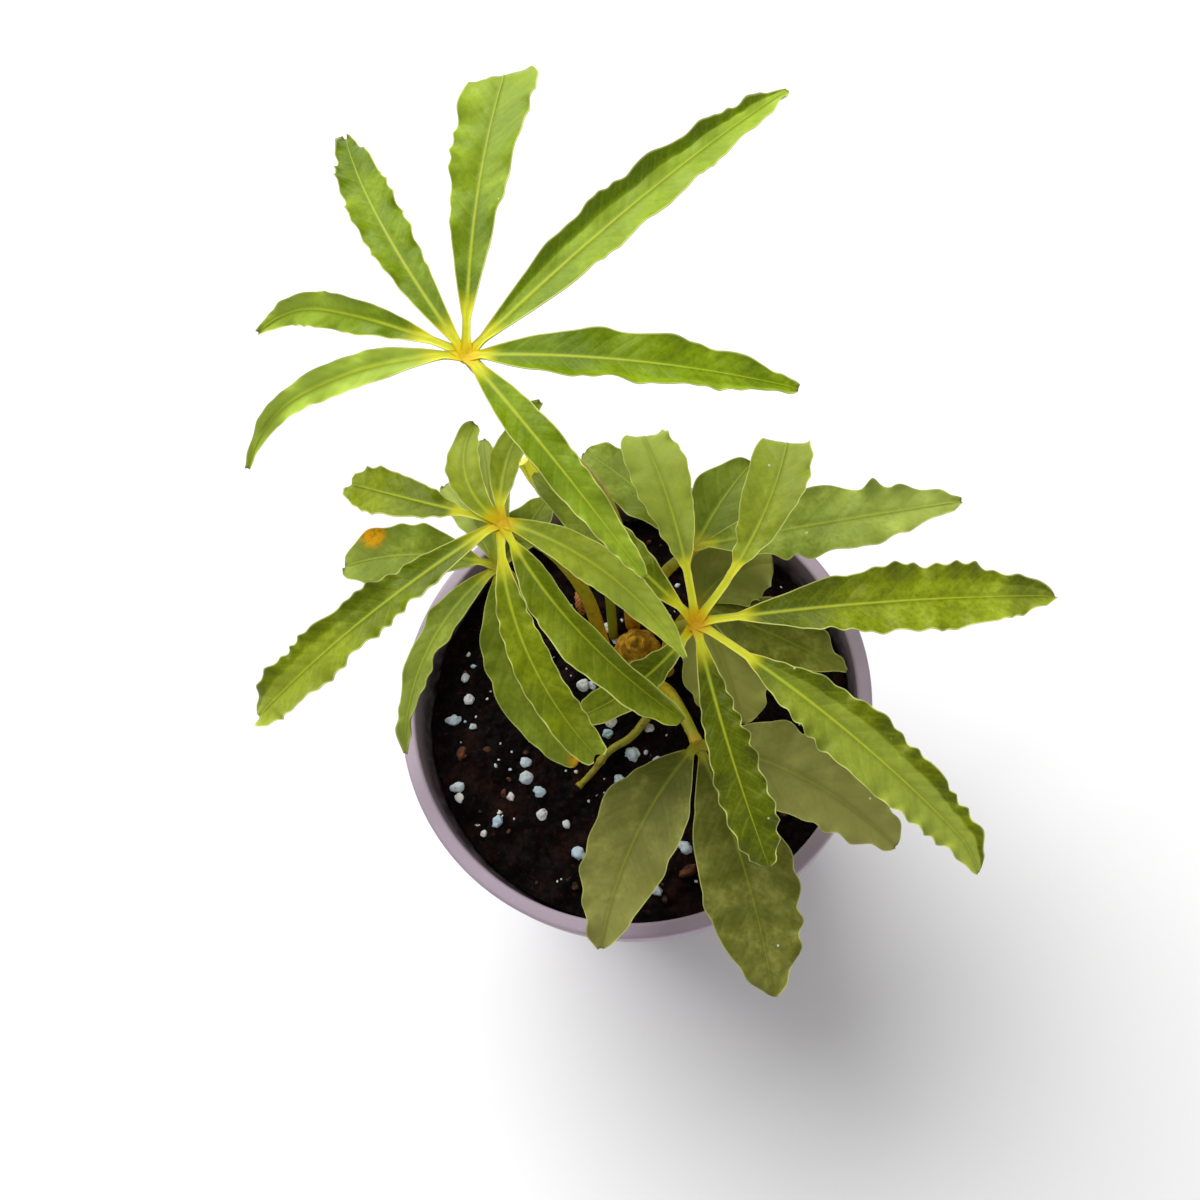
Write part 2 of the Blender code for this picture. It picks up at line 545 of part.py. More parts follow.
def make_dry_sheath():
    """The curled dry sheath: a short strip rolled nearly full circle, lying on its back."""
    x, y = SHEATH_PLACE
    ground = float(soil_height(x, y))
    strip = Leaflet(100, 13, 3.2, 0.45, 0.5, 20, -265, -20, neck=0.0, cup=8, wave=0.1)
    short = Margin(wavelength=8.0, scallop=0.04, columns=3)
    points, faces = blade(strip, short, (x, y, ground))
    points[:, 2] += ground - points[:, 2].min()
    new_object("dry_sheath", points, faces, "dry_brown")


def main():
    """Clears the scene and builds every piece."""
    for item in list(bpy.data.objects):
        bpy.data.objects.remove(item)
    make_pot()
    make_soil()
    make_crown()
    for leaf in LEAVES:
        make_leaf(leaf)
    make_new_leaf()
    make_old_stalk()
    make_dry_sheath()


main()
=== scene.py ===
"""The looks of a young potted anthurium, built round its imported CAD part.

Shapes are worked out in millimetres, in the part's own frame: +Z is up, +Y is the back of the plant
and the origin is the middle of the pot's base. new_piece turns them into Blender's metres.
"""
import math
import random
from collections import namedtuple

import bpy
import numpy as np
from bpy.props import FloatProperty, FloatVectorProperty, IntProperty, PointerProperty
from mathutils import Matrix, Vector


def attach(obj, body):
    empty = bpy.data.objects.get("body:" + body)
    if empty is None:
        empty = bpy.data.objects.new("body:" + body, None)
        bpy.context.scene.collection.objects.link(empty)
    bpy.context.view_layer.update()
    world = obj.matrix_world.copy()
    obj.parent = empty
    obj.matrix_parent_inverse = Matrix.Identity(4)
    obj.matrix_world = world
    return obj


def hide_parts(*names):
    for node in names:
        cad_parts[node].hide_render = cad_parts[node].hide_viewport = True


bl_info = {
    "name": "Potted Anthurium",
    "version": (1, 0, 0),
    "blender": (4, 5, 0),
    "location": "3D View > Sidebar > Anthurium",
    "description": "Builds a potted anthurium with palmate, wavy-edged leaves",
    "category": "Add Mesh",
}

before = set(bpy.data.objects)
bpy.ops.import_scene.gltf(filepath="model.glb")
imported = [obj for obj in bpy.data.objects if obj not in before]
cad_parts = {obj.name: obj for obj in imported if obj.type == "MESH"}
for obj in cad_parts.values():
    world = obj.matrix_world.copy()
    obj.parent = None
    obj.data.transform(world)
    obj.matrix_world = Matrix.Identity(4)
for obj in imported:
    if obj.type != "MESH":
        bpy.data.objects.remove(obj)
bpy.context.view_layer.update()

MM = 0.001

# Pot, as in the CAD part
POT_HEIGHT = 88.0
POT_TOP_RADIUS = 50.0
POT_BASE_RADIUS = 35.5
POT_WALL = 1.6
POT_FLOOR = 2.4
LIP_HEIGHT = 8.5
LIP_OVERHANG = 1.8
LIP_INNER_RADIUS = 46.8
LIP_TAPER = 0.3
EDGE_ROUND = 0.7
DRAIN_HOLES = 5
DRAIN_RADIUS = 4.0
DRAIN_CIRCLE = 22.0

# Soil
SOIL_TOP = 76.5
SOIL_LUMP = 0.6
MOUND_HEIGHT = 1.0
MOUND_REACH = 14.0
SOIL_GAP = 0.6
CLEARANCE = 0.35
HOLE_BOTTOM = 62.0
SMALL_GRAINS = 10
GRAIN_SEED = 11
GRAIN_SPACING = 5.0
GRAIN_CIRCLE = 41.0
SMALL_GRAIN_WIDTHS = (1.6, 2.4)

# Crown and stalks
CROWN_PLACE = (0.5, 12.5)
CROWN_RADIUS = 3.6
CROWN_HEIGHT = 11.0
CROWN_RINGS = 3
COLLAR_HEIGHT = 2.8
BUD_HEIGHT = 1.5
STALK_CIRCLE = 7.2
STALK_FOOT_RADIUS = 1.6
STALK_TOP_RADIUS = 1.05
HUB_RADIUS = 1.9
OLD_HUB_RADIUS = 1.6
HUB_FLATNESS = 0.6
HUB_TOP_FLATNESS = 0.20

# Blades
NECK_THICKNESS = 1.5
NECK_WIDTH = 1.5
TIP_WIDTH = 0.9
NECK_WING = 0.45
NECK_FLARE = 0.45
NECK_FLARE_REACH = 2.4
NECK_CHANNEL = 0.12
RIB_RISE = 0.20
RIB_UNDER = 0.42
RIB_FURROW = 0.10
RIB_THINNING = 0.65
RIB_FADE = 0.5
EDGE_THINNING = 0.45
LIP_FROM = 0.6
# Painted shade towards the hub and painted light towards the tip: how much paler a blade grows along it
TIP_PALER = 0.75
EDGE_LAG = 2.1
DRIFT_LENGTH = 9.0
VIGOUR_LENGTH = 6.5
BILLOW_LENGTH = 4.5
END_ROWS = 24
ROW_SPACING = 0.55
BLADE_COLUMNS = 33

# The margins of a leaf's blades: a long wave, whose scallop also moves the edge in and out, and a frill
# of small scallops. vein_spacing is how far apart the side veins leave the midrib.
Margin = namedtuple("Margin", "wavelength scallop frill frill_length vein_spacing")
TOP = Margin(13.0, 0.02, frill=0.20, frill_length=4.6, vein_spacing=3.4)
LEFT = Margin(13.0, 0.03, frill=0.45, frill_length=3.7, vein_spacing=3.2)
RIGHT = Margin(13.0, 0.03, frill=0.50, frill_length=3.8, vein_spacing=3.6)
BROAD = Margin(14.0, 0.03, frill=0.60, frill_length=6.5, vein_spacing=4.6)
BACK = Margin(14.0, 0.03, frill=0.95, frill_length=8.0, vein_spacing=4.4)
SIDE = Margin(13.0, 0.03, frill=0.35, frill_length=6.5, vein_spacing=4.0)

# One leaflet. The first fifteen values are the CAD part's: its neck, belly and point give the outline,
# and the rest its line in space. The others are the scene's: the ruffle multiplies the frill, the notch
# is how far the middle of a blunt end is drawn back, the lip is the angle by which the outer strip of one
# margin is turned up, the left one if positive, the lip's light and shade is painted light (positive) or
# painted shade (negative) on that strip, the tone is how much paler the whole blade is than its neighbours,
# from -1 to 1, partly its own tone and partly painted light and shade for how much light reaches it, and the
# stain is an aged spot, as a share of the length, a share of the half width, and a radius in millimetres.
Leaflet = namedtuple("Leaflet", "heading length width belly point rise droop sweep roll neck cup wave curl "
                                "curl_from hook ruffle notch lip lip_tone tone stain",
                     defaults=(0, 0.05, 12, 0.8, 0, 0.85, 0, 1.0, 0, 0, 0, 0, None))
Leaf = namedtuple("Leaf", "node piece hub foot via hub_radius margin slot leaflets")

LEAVES = (
    Leaf("leaf_top", "top_leaf", (-22.5, 42.5, 158), 100,
         ((0.0, 25.5, 108), (-3.5, 32.0, 125), (-14.0, 39.0, 138)), HUB_RADIUS, TOP, "young_leaf", (
             Leaflet(40.5, 83, 9.8, 0.40, 0.65, 12, 32, 8, cup=5, wave=0.6, lip=38, lip_tone=-1.3, tone=0.3),
             Leaflet(89, 65, 13.4, 0.80, 0.50, 16, 20, -13, neck=0.10, wave=0.7, curl=140,
                     curl_from=0.80, hook=70, ruffle=1.6, tone=0.1),
             Leaflet(125.5, 63.5, 9.4, 0.56, 0.60, 12, 38, -17, wave=0.8, ruffle=1.6, tone=-0.4),
             Leaflet(152, 50.5, 7.0, 0.58, 0.95, 5, 40, 5, roll=-38, neck=0.14, wave=0.6,
                     curl_from=0.6, hook=35, tone=0.2),
             Leaflet(178, 51.5, 6.2, 0.40, 1.10, 5, 45, 25, roll=-28, neck=0.08, wave=0.5,
                     curl_from=0.6, hook=33, tone=1),
             Leaflet(-8, 59, 10.4, 0.42, 0.65, 12, 34, 2, wave=0.6, lip=-30, lip_tone=0.45,
                     tone=-0.45),
             Leaflet(-53, 51.5, 7.3, 0.42, 0.65, 8, 34, 1, wave=0.5))),
    Leaf("leaf_left", "left_leaf", (-18.5, 17.5, 142), 180,
         ((-8.0, 17.5, 101), (-12.0, 19.5, 121)), HUB_RADIUS, LEFT, "young_leaf", (
             Leaflet(166.5, 33, 8.2, 0.70, 0.42, 10, 35, -13, roll=-6, neck=0.22, cup=2, wave=0.5, notch=0.8,
                     tone=-0.4),
             Leaflet(-145, 60.5, 9.7, 0.66, 0.50, 5, 40, -4, neck=0.04, cup=9, wave=0.8, notch=0.8,
                     lip=-12, lip_tone=-0.9),
             Leaflet(151, 21.5, 6.4, 0.55, 0.60, 18, 20, -92, wave=0.6, tone=0.4),
             Leaflet(95, 25, 6.0, 0.50, 0.80, 12, 20, -43, neck=0.12, wave=0.5, ruffle=0.4, tone=0.3),
             Leaflet(-19, 42.5, 7.8, 0.48, 1.10, 4, 20, -38, neck=0.02, wave=0.5, ruffle=0.5, tone=0.35),
             Leaflet(-63, 49, 9.8, 0.48, 0.40, 0, 22, 31, roll=32, neck=0.10, cup=24, wave=0.5, ruffle=0.5,
                     lip=55, lip_tone=0.9, tone=-0.6),
             Leaflet(-91, 47.5, 7.2, 0.55, 0.32, -5, 30, 47, neck=0.14, wave=0.5, ruffle=0.5, notch=0.8,
                     tone=-0.3))),
    Leaf("leaf_right", "right_leaf", (15.5, 2.0, 128), 330,
         ((9.0, 8.5, 100), (12.0, 5.5, 116)), HUB_RADIUS, RIGHT, "young_leaf", (
             Leaflet(96, 42, 11.2, 0.74, 0.55, 18, 25, 18, neck=0.24, wave=0.6, curl=110,
                     curl_from=0.85, hook=-40, ruffle=0.7, tone=0.5),
             Leaflet(46, 43, 11.6, 0.76, 0.50, 18, 25, 35, neck=0.28, wave=0.6, curl=110, curl_from=0.85,
                     ruffle=0.7, tone=0.2),
             Leaflet(3.5, 66, 13.0, 0.60, 0.75, 10, 28, 1, neck=0.12, wave=0.9, lip=8, lip_tone=-0.35,
                     tone=-0.2),
             Leaflet(-36, 68, 12.0, 0.52, 0.62, 6, 34, -9, neck=0.17, wave=0.9, hook=-25, lip=12,
                     lip_tone=-0.9, tone=0.3),
             Leaflet(-79, 46, 9.2, 0.74, 0.50, 2, 32, 9, neck=0.08, wave=1.2, ruffle=1.3, tone=-1.3),
             Leaflet(-127, 29, 8.0, 0.66, 0.45, -12, 20, -42, neck=0.12, wave=0.5, ruffle=0.5, tone=-0.3),
             Leaflet(135, 43, 8.5, 0.55, 0.70, 15, 22, 1, neck=0.10, wave=0.6, ruffle=0.5))),
    Leaf("leaf_front", "front_leaf", (14.5, -15.5, 107), 285,
         ((7.5, 0.0, 92), (11.5, -8.0, 101)), OLD_HUB_RADIUS, BROAD, "old_leaf", (
             Leaflet(-131, 44, 17.0, 0.44, 0.80, 10, 40, 28, wave=0.5, ruffle=0.8, tone=0.2),
             Leaflet(-67, 49, 18.3, 0.56, 0.78, 5, 25, -15, wave=0.7, ruffle=1.3, tone=-0.3),
             Leaflet(-12, 42.5, 16.5, 0.38, 0.60, 12, 30, -33, wave=0.6, ruffle=1.2, tone=0.5))),
    Leaf("leaf_middle", "middle_leaf", (15.0, 15.5, 100), 15,
         ((11.0, 15.5, 91),), OLD_HUB_RADIUS, BROAD, "old_leaf", (
             Leaflet(60, 19, 18.5, 0.50, 0.50, 16, 35, -58, wave=0.3, tone=0.4),
             Leaflet(-25, 33, 14.0, 0.50, 1.30, 10, 30, -1, wave=0.5, tone=-0.2),
             Leaflet(-67, 26, 18.0, 0.48, 0.60, 0, 30, -8, wave=0.4, tone=0.7))),
    Leaf("leaf_back", "back_leaf", (15.0, 25.0, 109), 60,
         ((7.0, 23.0, 97),), OLD_HUB_RADIUS, BACK, "old_leaf", (
             Leaflet(3, 53.5, 14.0, 0.48, 0.95, 15, 25, 8, cup=8, wave=1.1, tone=0.1),
             Leaflet(62, 22, 13.0, 0.50, 0.60, 12, 30, -9, wave=0.6, ruffle=0.5, tone=-1),
             Leaflet(131, 33, 11.5, 0.55, 0.55, 12, 30, 8, wave=0.6, ruffle=0.5, tone=-0.4))),
    Leaf("leaf_side", "side_leaf", (-24.5, 20.5, 113), 222,
         ((-10.0, 11.5, 89), (-17.0, 16.0, 100)), OLD_HUB_RADIUS, SIDE, "old_leaf", (
             Leaflet(164, 34.5, 13.0, 0.60, 0.42, 10, 35, 22, neck=0.12, wave=0.5, stain=(0.78, -0.80, 3.0),
                     tone=-0.15),
             Leaflet(-142, 44.5, 7.4, 0.38, 0.90, 5, 45, 45, roll=20, wave=0.5, tone=0.1),
             Leaflet(-90, 44, 12.0, 0.50, 0.65, 0, 25, 43, stain=(1.0, 0.3, 3.2), tone=-0.3),
             Leaflet(107, 23, 8.0, 0.60, 0.60, 10, 25, 32, wave=0.4, ruffle=0.5, tone=0.9),
             Leaflet(97, 27, 9.0, 0.55, 0.80, 20, 20, 1, wave=0.6, ruffle=0.5, tone=0.5),
             Leaflet(58, 20, 8.5, 0.55, 0.70, -3, 25, 10, wave=0.4, ruffle=0.5, tone=-0.3))),
)

# The finish of each leaf's blades: their colour in pale, light and dark parts, of the underside, and of the
# hub, how mottled they are, how strongly the veins show, and the roughness
Finish = namedtuple("Finish", "pale light dark under hub mottle veins roughness")
FINISHES = {
    "top_leaf": Finish("#B4CE4A", "#8AA406", "#5A7200", "#A0B45A", "#DCBA00", 0.45, 1.0, 0.42),
    "left_leaf": Finish("#B2C24A", "#909E0C", "#586802", "#A9B75C", "#C6A400", 0.50, 0.8, 0.42),
    "right_leaf": Finish("#B2C250", "#94A410", "#4C5800", "#A9B75C", "#CC9800", 0.50, 0.9, 0.42),
    "front_leaf": Finish("#A6A45A", "#828438", "#4A4E0A", "#8F9152", "#86821C", 0.75, 0.25, 0.55),
    "middle_leaf": Finish("#B2B25C", "#84882C", "#4C5202", "#8B8E4A", "#86821C", 0.75, 0.25, 0.55),
    "back_leaf": Finish("#BCCB66", "#9DAE40", "#5C6C0C", "#A9B466", "#9A9C28", 0.50, 0.5, 0.48),
    "side_leaf": Finish("#ABB858", "#8A9A2A", "#5A6A0C", "#A0AC60", "#969222", 0.50, 0.5, 0.50),
}

# The dark scar in the middle of a hub, and the pale corky specks on a blade
HUB_SCAR_COLOUR = "#A87404"
SPECK_COLOUR = "#E6EAD0"

# New leaf
NEW_LEAF_FOOT = 140
NEW_LEAF_ROUTE = ((-5.0, 25.0, 94), (-8.5, 30.0, 104), (-12.5, 34.0, 114), (-18.5, 39.5, 122))
NEW_LEAF_RADIUS = 2.5
NEW_LEAF_OVERLAP = 0.16
NEW_LEAF_TWIST = 300

# Old stalk and dry sheath
OLD_STALK_ROUTE = ((2.5, -2.0), (-1.5, -6.5), (-6.0, -9.5), (-9.5, -13.5), (-12.5, -17.0))
OLD_STALK_RADIUS = 1.1
OLD_STALK_TAPER = 0.35
SHEATH_PLACE = (-11.5, 25.5)

# The largest grains: place and width, and the bits of bark among them
LARGE_GRAINS = ((-41.0, -1.0, 3.4), (-37.5, 3.5, 2.4), (-24.0, -14.5, 3.2), (-27.5, -18.5, 2.2),
                (-39.0, -16.5, 3.0), (-38.5, -9.0, 2.4), (-30.0, -24.0, 2.8), (-20.5, -22.5, 2.6),
                (-12.5, -31.0, 3.0), (10.0, -30.0, 3.2), (10.5, -35.0, 2.8), (-11.5, 17.5, 2.6),
                (-12.0, 6.0, 3.0), (-5.5, -2.5, 2.8), (4.0, -39.0, 2.6), (13.5, 9.5, 3.0))
BARK_PLACES = ((-38.5, -9.0), (10.5, -35.0))

# The scene's own grains: those seen singly in the photograph, and crumbs scattered by a seeded draw
FINE_GRAINS = ((-24.2, -11.0, 2.2), (-21.2, -17.6, 2.4), (-38.6, -18.8, 2.0), (-9.5, 20.0, 2.2),
               (-6.0, 19.0, 2.8), (-4.6, 16.0, 1.9), (-10.0, 6.2, 2.0), (-6.5, -5.0, 2.4), (-1.0, -9.8, 3.2),
               (-4.0, -15.0, 2.6), (2.6, -3.8, 1.9), (6.4, 20.5, 3.0), (-36.5, -2.5, 1.6),
               (-33.0, -26.5, 1.7))
PERLITE_CRUMBS = 150
BARK_CRUMBS = 90
CRUMB_WIDTHS = (0.5, 1.3)
CRUMB_CIRCLE = 43.0
GRAIN_DETAIL = (22, 14)
CRUMB_DETAIL = (8, 5)

# Camera: the photograph's viewing angle, worked out from the ellipse of the pot's rim
PHOTO_SIZE = 1200
FOCAL_PIXELS = 1350.0
SENSOR_WIDTH = 36.0
CAMERA_TILT = 17.0
CAMERA_TURN = 18.0
CAMERA_DISTANCE = 286.0
RIM_PIXEL = (632.0, 696.5)

# Studio
FLOOR_WIDTH = 6000.0
PLANT_MIDDLE = (0, 10, 110)
KEY_PLACE = (-1100, 1700, 2300)
KEY_WIDTH = 2900
FILL_PLACE = (1560, -1560, 1680)
FILL_WIDTH = 2100

# How many cells value_noise and crumbs draw before they repeat
LATTICE = 64

Shape = namedtuple("Shape", "points quads triangles marks surface")


def linear(code):
    """An sRGB hex colour as linear RGB with an alpha of 1."""
    channels = [int(code[k:k + 2], 16) / 255 for k in (1, 3, 5)]
    return [c / 12.92 if c <= 0.04045 else ((c + 0.055) / 1.055) ** 2.4 for c in channels] + [1.0]


def colour_setting(name, description, code):
    """A colour among the settings, from an sRGB hex code."""
    return FloatVectorProperty(name=name, description=description, subtype="COLOR", size=4,
                               default=linear(code))


def length_setting(name, description, size, least=0.0):
    """A length among the settings, from millimetres."""
    return FloatProperty(name=name, description=description, default=size * MM, unit="LENGTH",
                         min=least * MM)


class PotSettings(bpy.types.PropertyGroup):
    """Sizes and colours of the nursery pot's finish."""

    segments: IntProperty(name="Segments", description="Facets round the pot", default=224, min=48)
    colour: colour_setting("Plastic", "Colour of the pot's plastic", "#A290A0")
    scuff: colour_setting("Scuffs", "Colour of the plastic where it is rubbed", "#BBAEBA")
    # Soil film on the inner wall, which also carries the painted shade deeper in the pot
    film_and_shade: colour_setting("Soil film", "Colour of the soil left on the inner wall", "#1E100E")


class SoilSettings(bpy.types.PropertyGroup):
    """Sizes and colours of the peat, perlite and bark."""

    crumb: length_setting("Crumb", "Width of the largest peat crumbs", 3.0, 1.0)
    relief: length_setting("Relief", "How far the crumbs stand up", 0.9)
    peat: colour_setting("Peat", "Colour of the moist peat", "#0B0505")
    fibre: colour_setting("Fibre", "Colour of the drier fibres", "#3A1C12")
    perlite: colour_setting("Perlite", "Colour of the dry perlite", "#F6F0EC")
    moist: colour_setting("Moist perlite", "Colour of the perlite where it is damp", "#C2DCEC")


class LeafSettings(bpy.types.PropertyGroup):
    """Sizes and colours that all the leaves share."""

    thickness: length_setting("Blade thickness", "Thickness between the veins", 0.46, 0.2)
    rib: length_setting("Midrib", "Half width of the midrib at its base", 0.52, 0.1)
    quilt: length_setting("Vein relief", "How far the blade swells between side veins", 0.12)
    billow: length_setting("Billows", "Height of the soft, irregular hills of a blade", 0.30)
    rib_colour: colour_setting("Midrib colour", "Colour of the midribs", "#B8C42C")
    margin_colour: colour_setting("Margin", "Colour of the blade's thin pale edge", "#D6D87C")
    neck_colour: colour_setting("Neck", "Colour of the leaflets' own short stalks", "#E4DC1E")
    stain_colour: colour_setting("Stain", "Colour of an aged spot", "#E2A006")
    tip_colour: colour_setting("Tip", "Colour of the dried tips", "#6F6030")


class StageSettings(bpy.types.PropertyGroup):
    """Floor and light."""

    floor: colour_setting("Floor", "Colour of the floor", "#F4F4F4")
    key_power: FloatProperty(name="Key light", description="Power of the large light at the back left",
                             default=134.0, unit="POWER", min=0)
    fill_power: FloatProperty(name="Fill light", description="Power of the soft light at the front right",
                              default=11.0, unit="POWER", min=0)
    sky: FloatProperty(name="Sky", description="Strength of the even light from all round", default=0.31,
                       min=0)


def smooth_step(value, low, high):
    """0 below low, 1 above high, and between them 3t^2 - 2t^3 of the share t of the way."""
    t = np.clip((value - low) / (high - low), 0, 1)
    return t * t * (3 - 2 * t)


def round_angles(count):
    """Angles that divide a full turn evenly."""
    return np.arange(count) * 2 * math.pi / count


def bells(angle, headings, width):
    """The highest of the bells exp(-(a / width)^2), where a is the angle from each heading in degrees."""
    off = (angle[:, None] - np.radians(headings) + math.pi) % (2 * math.pi) - math.pi
    return np.exp(-(off / width) ** 2).max(1)


def value_noise(x, y, cell, seed):
    """Smooth random heights from -1 to 1: one drawn for each corner of a square lattice of that cell,
    and blended across the cell by a smooth step each way."""
    table = np.random.default_rng(seed).uniform(-1, 1, (LATTICE, LATTICE))
    u, v = x / cell + 0.37, y / cell + 0.71
    i, j = np.floor(u).astype(int), np.floor(v).astype(int)
    u, v = smooth_step(u - i, 0, 1), smooth_step(v - j, 0, 1)
    i, j, k, n = i % LATTICE, j % LATTICE, (i + 1) % LATTICE, (j + 1) % LATTICE
    low = table[i, j] * (1 - u) + table[k, j] * u
    high = table[i, n] * (1 - u) + table[k, n] * u
    return low * (1 - v) + high * v


def crumbs(x, y, cell, seed):
    """Heights from 0 to 1 of rounded crumbs: each lattice cell holds one half ball, moved off the
    cell's middle and sized at random, and a point takes the highest ball above it."""
    draw = np.random.default_rng(seed)
    shift = draw.uniform(0.15, 0.85, (LATTICE, LATTICE, 2))
    size = draw.uniform(0.3, 0.85, (LATTICE, LATTICE))
    u, v = x / cell, y / cell
    near_i, near_j = np.floor(u).astype(int), np.floor(v).astype(int)
    best = np.zeros_like(u)
    for di in (-1, 0, 1):
        for dj in (-1, 0, 1):
            i, j = near_i + di, near_j + dj
            at = (i % LATTICE, j % LATTICE)
            away = (u - i - shift[at][..., 0]) ** 2 + (v - j - shift[at][..., 1]) ** 2
            radius = size[at]
            best = np.maximum(best, np.sqrt(np.maximum(radius ** 2 - away, 0)))
    return best


def grid_quads(rows, columns, closed):
    """Corner numbers of a grid's quads, each (i, j), (i+1, j), (i+1, j+1), (i, j+1). A closed grid
    joins its last column to its first."""
    i, j = np.meshgrid(np.arange(rows - 1), np.arange(columns if closed else columns - 1), indexing="ij")
    k = (j + 1) % columns
    corners = [i * columns + j, (i + 1) * columns + j, (i + 1) * columns + k, i * columns + k]
    return np.stack(corners, -1).reshape(-1, 4)


def closed_rings(rings, start, end, marks=None, surface=0):
    """A closed body from rings of points, which run counterclockwise seen from the end that they lead
    to, with a pole and a fan of triangles at each end. A mark is one value for each point of the rings."""
    rows, sides = rings.shape[:2]
    points = np.vstack([rings.reshape(-1, 3), [start], [end]])
    k = np.arange(sides)
    after = (k + 1) % sides
    first, last = rows * sides, rows * sides + 1
    fan_start = np.stack([np.full(sides, first), after, k], 1)
    fan_end = np.stack([np.full(sides, last), k + (rows - 1) * sides, after + (rows - 1) * sides], 1)
    spread = {}
    for name, value in (marks or {}).items():
        value = np.broadcast_to(value, (rows, sides))
        spread[name] = np.concatenate([value.ravel(), [value[0].mean(), value[-1].mean()]])
    quads = grid_quads(rows, sides, True)[:, ::-1]
    return Shape(points, quads, np.vstack([fan_start, fan_end]), spread, surface)


def lathe(profile, segments, centre=(0, 0), marks=None, surface=0):
    """A profile of (radius, height) carried round +Z: x = r cos a, y = r sin a. It starts and ends on
    the axis, and a mark is one value for each point of the profile between them."""
    inner = np.asarray(profile[1:-1], float)
    angle = round_angles(segments)
    rings = np.empty((len(inner), segments, 3))
    rings[..., 0] = inner[:, :1] * np.cos(angle) + centre[0]
    rings[..., 1] = inner[:, :1] * np.sin(angle) + centre[1]
    rings[..., 2] = inner[:, 1:]
    marks = {name: np.asarray(value, float)[:, None] for name, value in (marks or {}).items()}
    return closed_rings(rings, (*centre, profile[0][1]), (*centre, profile[-1][1]), marks, surface)


def along_path(path):
    """For a path: the direction ahead at each point, and two directions square to it and to each other."""
    ahead = np.gradient(path, axis=0)
    ahead /= np.linalg.norm(ahead, axis=1)[:, None]
    reference = np.array([0.9, -0.43, 0.05])
    across = reference - ahead * (ahead @ reference)[:, None]
    across /= np.linalg.norm(across, axis=1)[:, None]
    return ahead, across, np.cross(ahead, across)


def tube(path, reach, marks=None, surface=0):
    """A body whose ring at each point of the path has that reach: one radius for each of its sides."""
    path = np.asarray(path, float)
    reach = np.asarray(reach, float)
    _, across, upright = along_path(path)
    angle = round_angles(reach.shape[1])
    rings = path[:, None] + reach[..., None] * (np.cos(angle)[:, None] * across[:, None]
                                                + np.sin(angle)[:, None] * upright[:, None])
    return closed_rings(rings, path[0], path[-1], marks, surface)


def smooth_curve(route, count, start=None):
    """Points along the Catmull-Rom curve through the route, which may leave along a given start tangent."""
    route = np.asarray(route, float)
    before = 2 * route[0] - route[1] if start is None else route[1] - 2 * np.asarray(start, float)
    ends = np.vstack([before, route, 2 * route[-1] - route[-2]])
    place = np.linspace(0, len(route) - 1, count)
    span = np.minimum(place.astype(int), len(route) - 2)
    t = (place - span)[:, None]
    a, b, c, d = (ends[span + k] for k in range(4))
    return 0.5 * (2 * b + (c - a) * t + (2 * a - 5 * b + 4 * c - d) * t ** 2
                  + (3 * b - 3 * c + d - a) * t ** 3)


def join(shapes):
    """Several shapes as one, with an empty mark set to 0 where a shape doesn't have it."""
    names = sorted({name for shape in shapes for name in shape.marks})
    offsets = np.cumsum([0] + [len(shape.points) for shape in shapes[:-1]])
    quads = np.vstack([shape.quads + offset for shape, offset in zip(shapes, offsets)])
    triangles = np.vstack([shape.triangles + offset for shape, offset in zip(shapes, offsets)])
    marks = {name: np.concatenate([shape.marks.get(name, np.zeros(len(shape.points))) for shape in shapes])
             for name in names}
    surface = np.concatenate([np.broadcast_to(shape.surface, len(shape.quads)) for shape in shapes]
                             + [np.broadcast_to(shape.surface, len(shape.triangles)) for shape in shapes])
    return Shape(np.vstack([shape.points for shape in shapes]), quads, triangles, marks, surface)


def new_mesh(name, shape, materials, sharp):
    """A Blender mesh from a shape in millimetres, with its marks as attributes."""
    mesh = bpy.data.meshes.new(name)
    corners = np.concatenate([shape.quads.ravel(), shape.triangles.ravel()]).astype(np.int32)
    faces = len(shape.quads) + len(shape.triangles)
    starts = np.concatenate([np.arange(len(shape.quads)) * 4,
                             len(shape.quads) * 4 + np.arange(len(shape.triangles)) * 3])
    mesh.vertices.add(len(shape.points))
    mesh.vertices.foreach_set("co", (shape.points * MM).astype(np.float32).ravel())
    mesh.loops.add(len(corners))
    mesh.loops.foreach_set("vertex_index", corners)
    mesh.polygons.add(faces)
    mesh.polygons.foreach_set("loop_start", starts.astype(np.int32))
    for material in materials:
        mesh.materials.append(material)
    mesh.polygons.foreach_set("material_index", np.broadcast_to(shape.surface, faces).astype(np.int32))
    for mark, values in shape.marks.items():
        attribute = mesh.attributes.new(mark, "FLOAT", "POINT")
        attribute.data.foreach_set("value", values.astype(np.float32))
    mesh.update(calc_edges=True)
    mesh.validate()
    mesh.shade_smooth()
    mesh.set_sharp_from_angle(angle=math.radians(sharp))
    return mesh


def new_piece(name, shape, materials, node, sharp=60):
    """A piece of the object that stands for a CAD node, whose CAD part it hides."""
    piece = bpy.data.objects.new(name, new_mesh(name, shape, materials, sharp))
    bpy.context.scene.collection.objects.link(piece)
    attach(piece, "root")
    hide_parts(node)
    return piece


def feed(node, inputs):
    """Gives each of a node's inputs, by its name or number, a value, a colour by its sRGB hex code, or a
    link from another node's output."""
    for key, value in inputs.items():
        if isinstance(value, bpy.types.NodeSocket):
            node.id_data.links.new(value, node.inputs[key])
        else:
            node.inputs[key].default_value = linear(value) if isinstance(value, str) else value


def add_node(tree, kind, inputs, output=0, **settings):
    """Adds a shader node with its inputs and its own settings, and returns one of its outputs."""
    node = tree.nodes.new("ShaderNode" + kind)
    for name, value in settings.items():
        setattr(node, name, value)
    feed(node, inputs)
    return node.outputs[output]


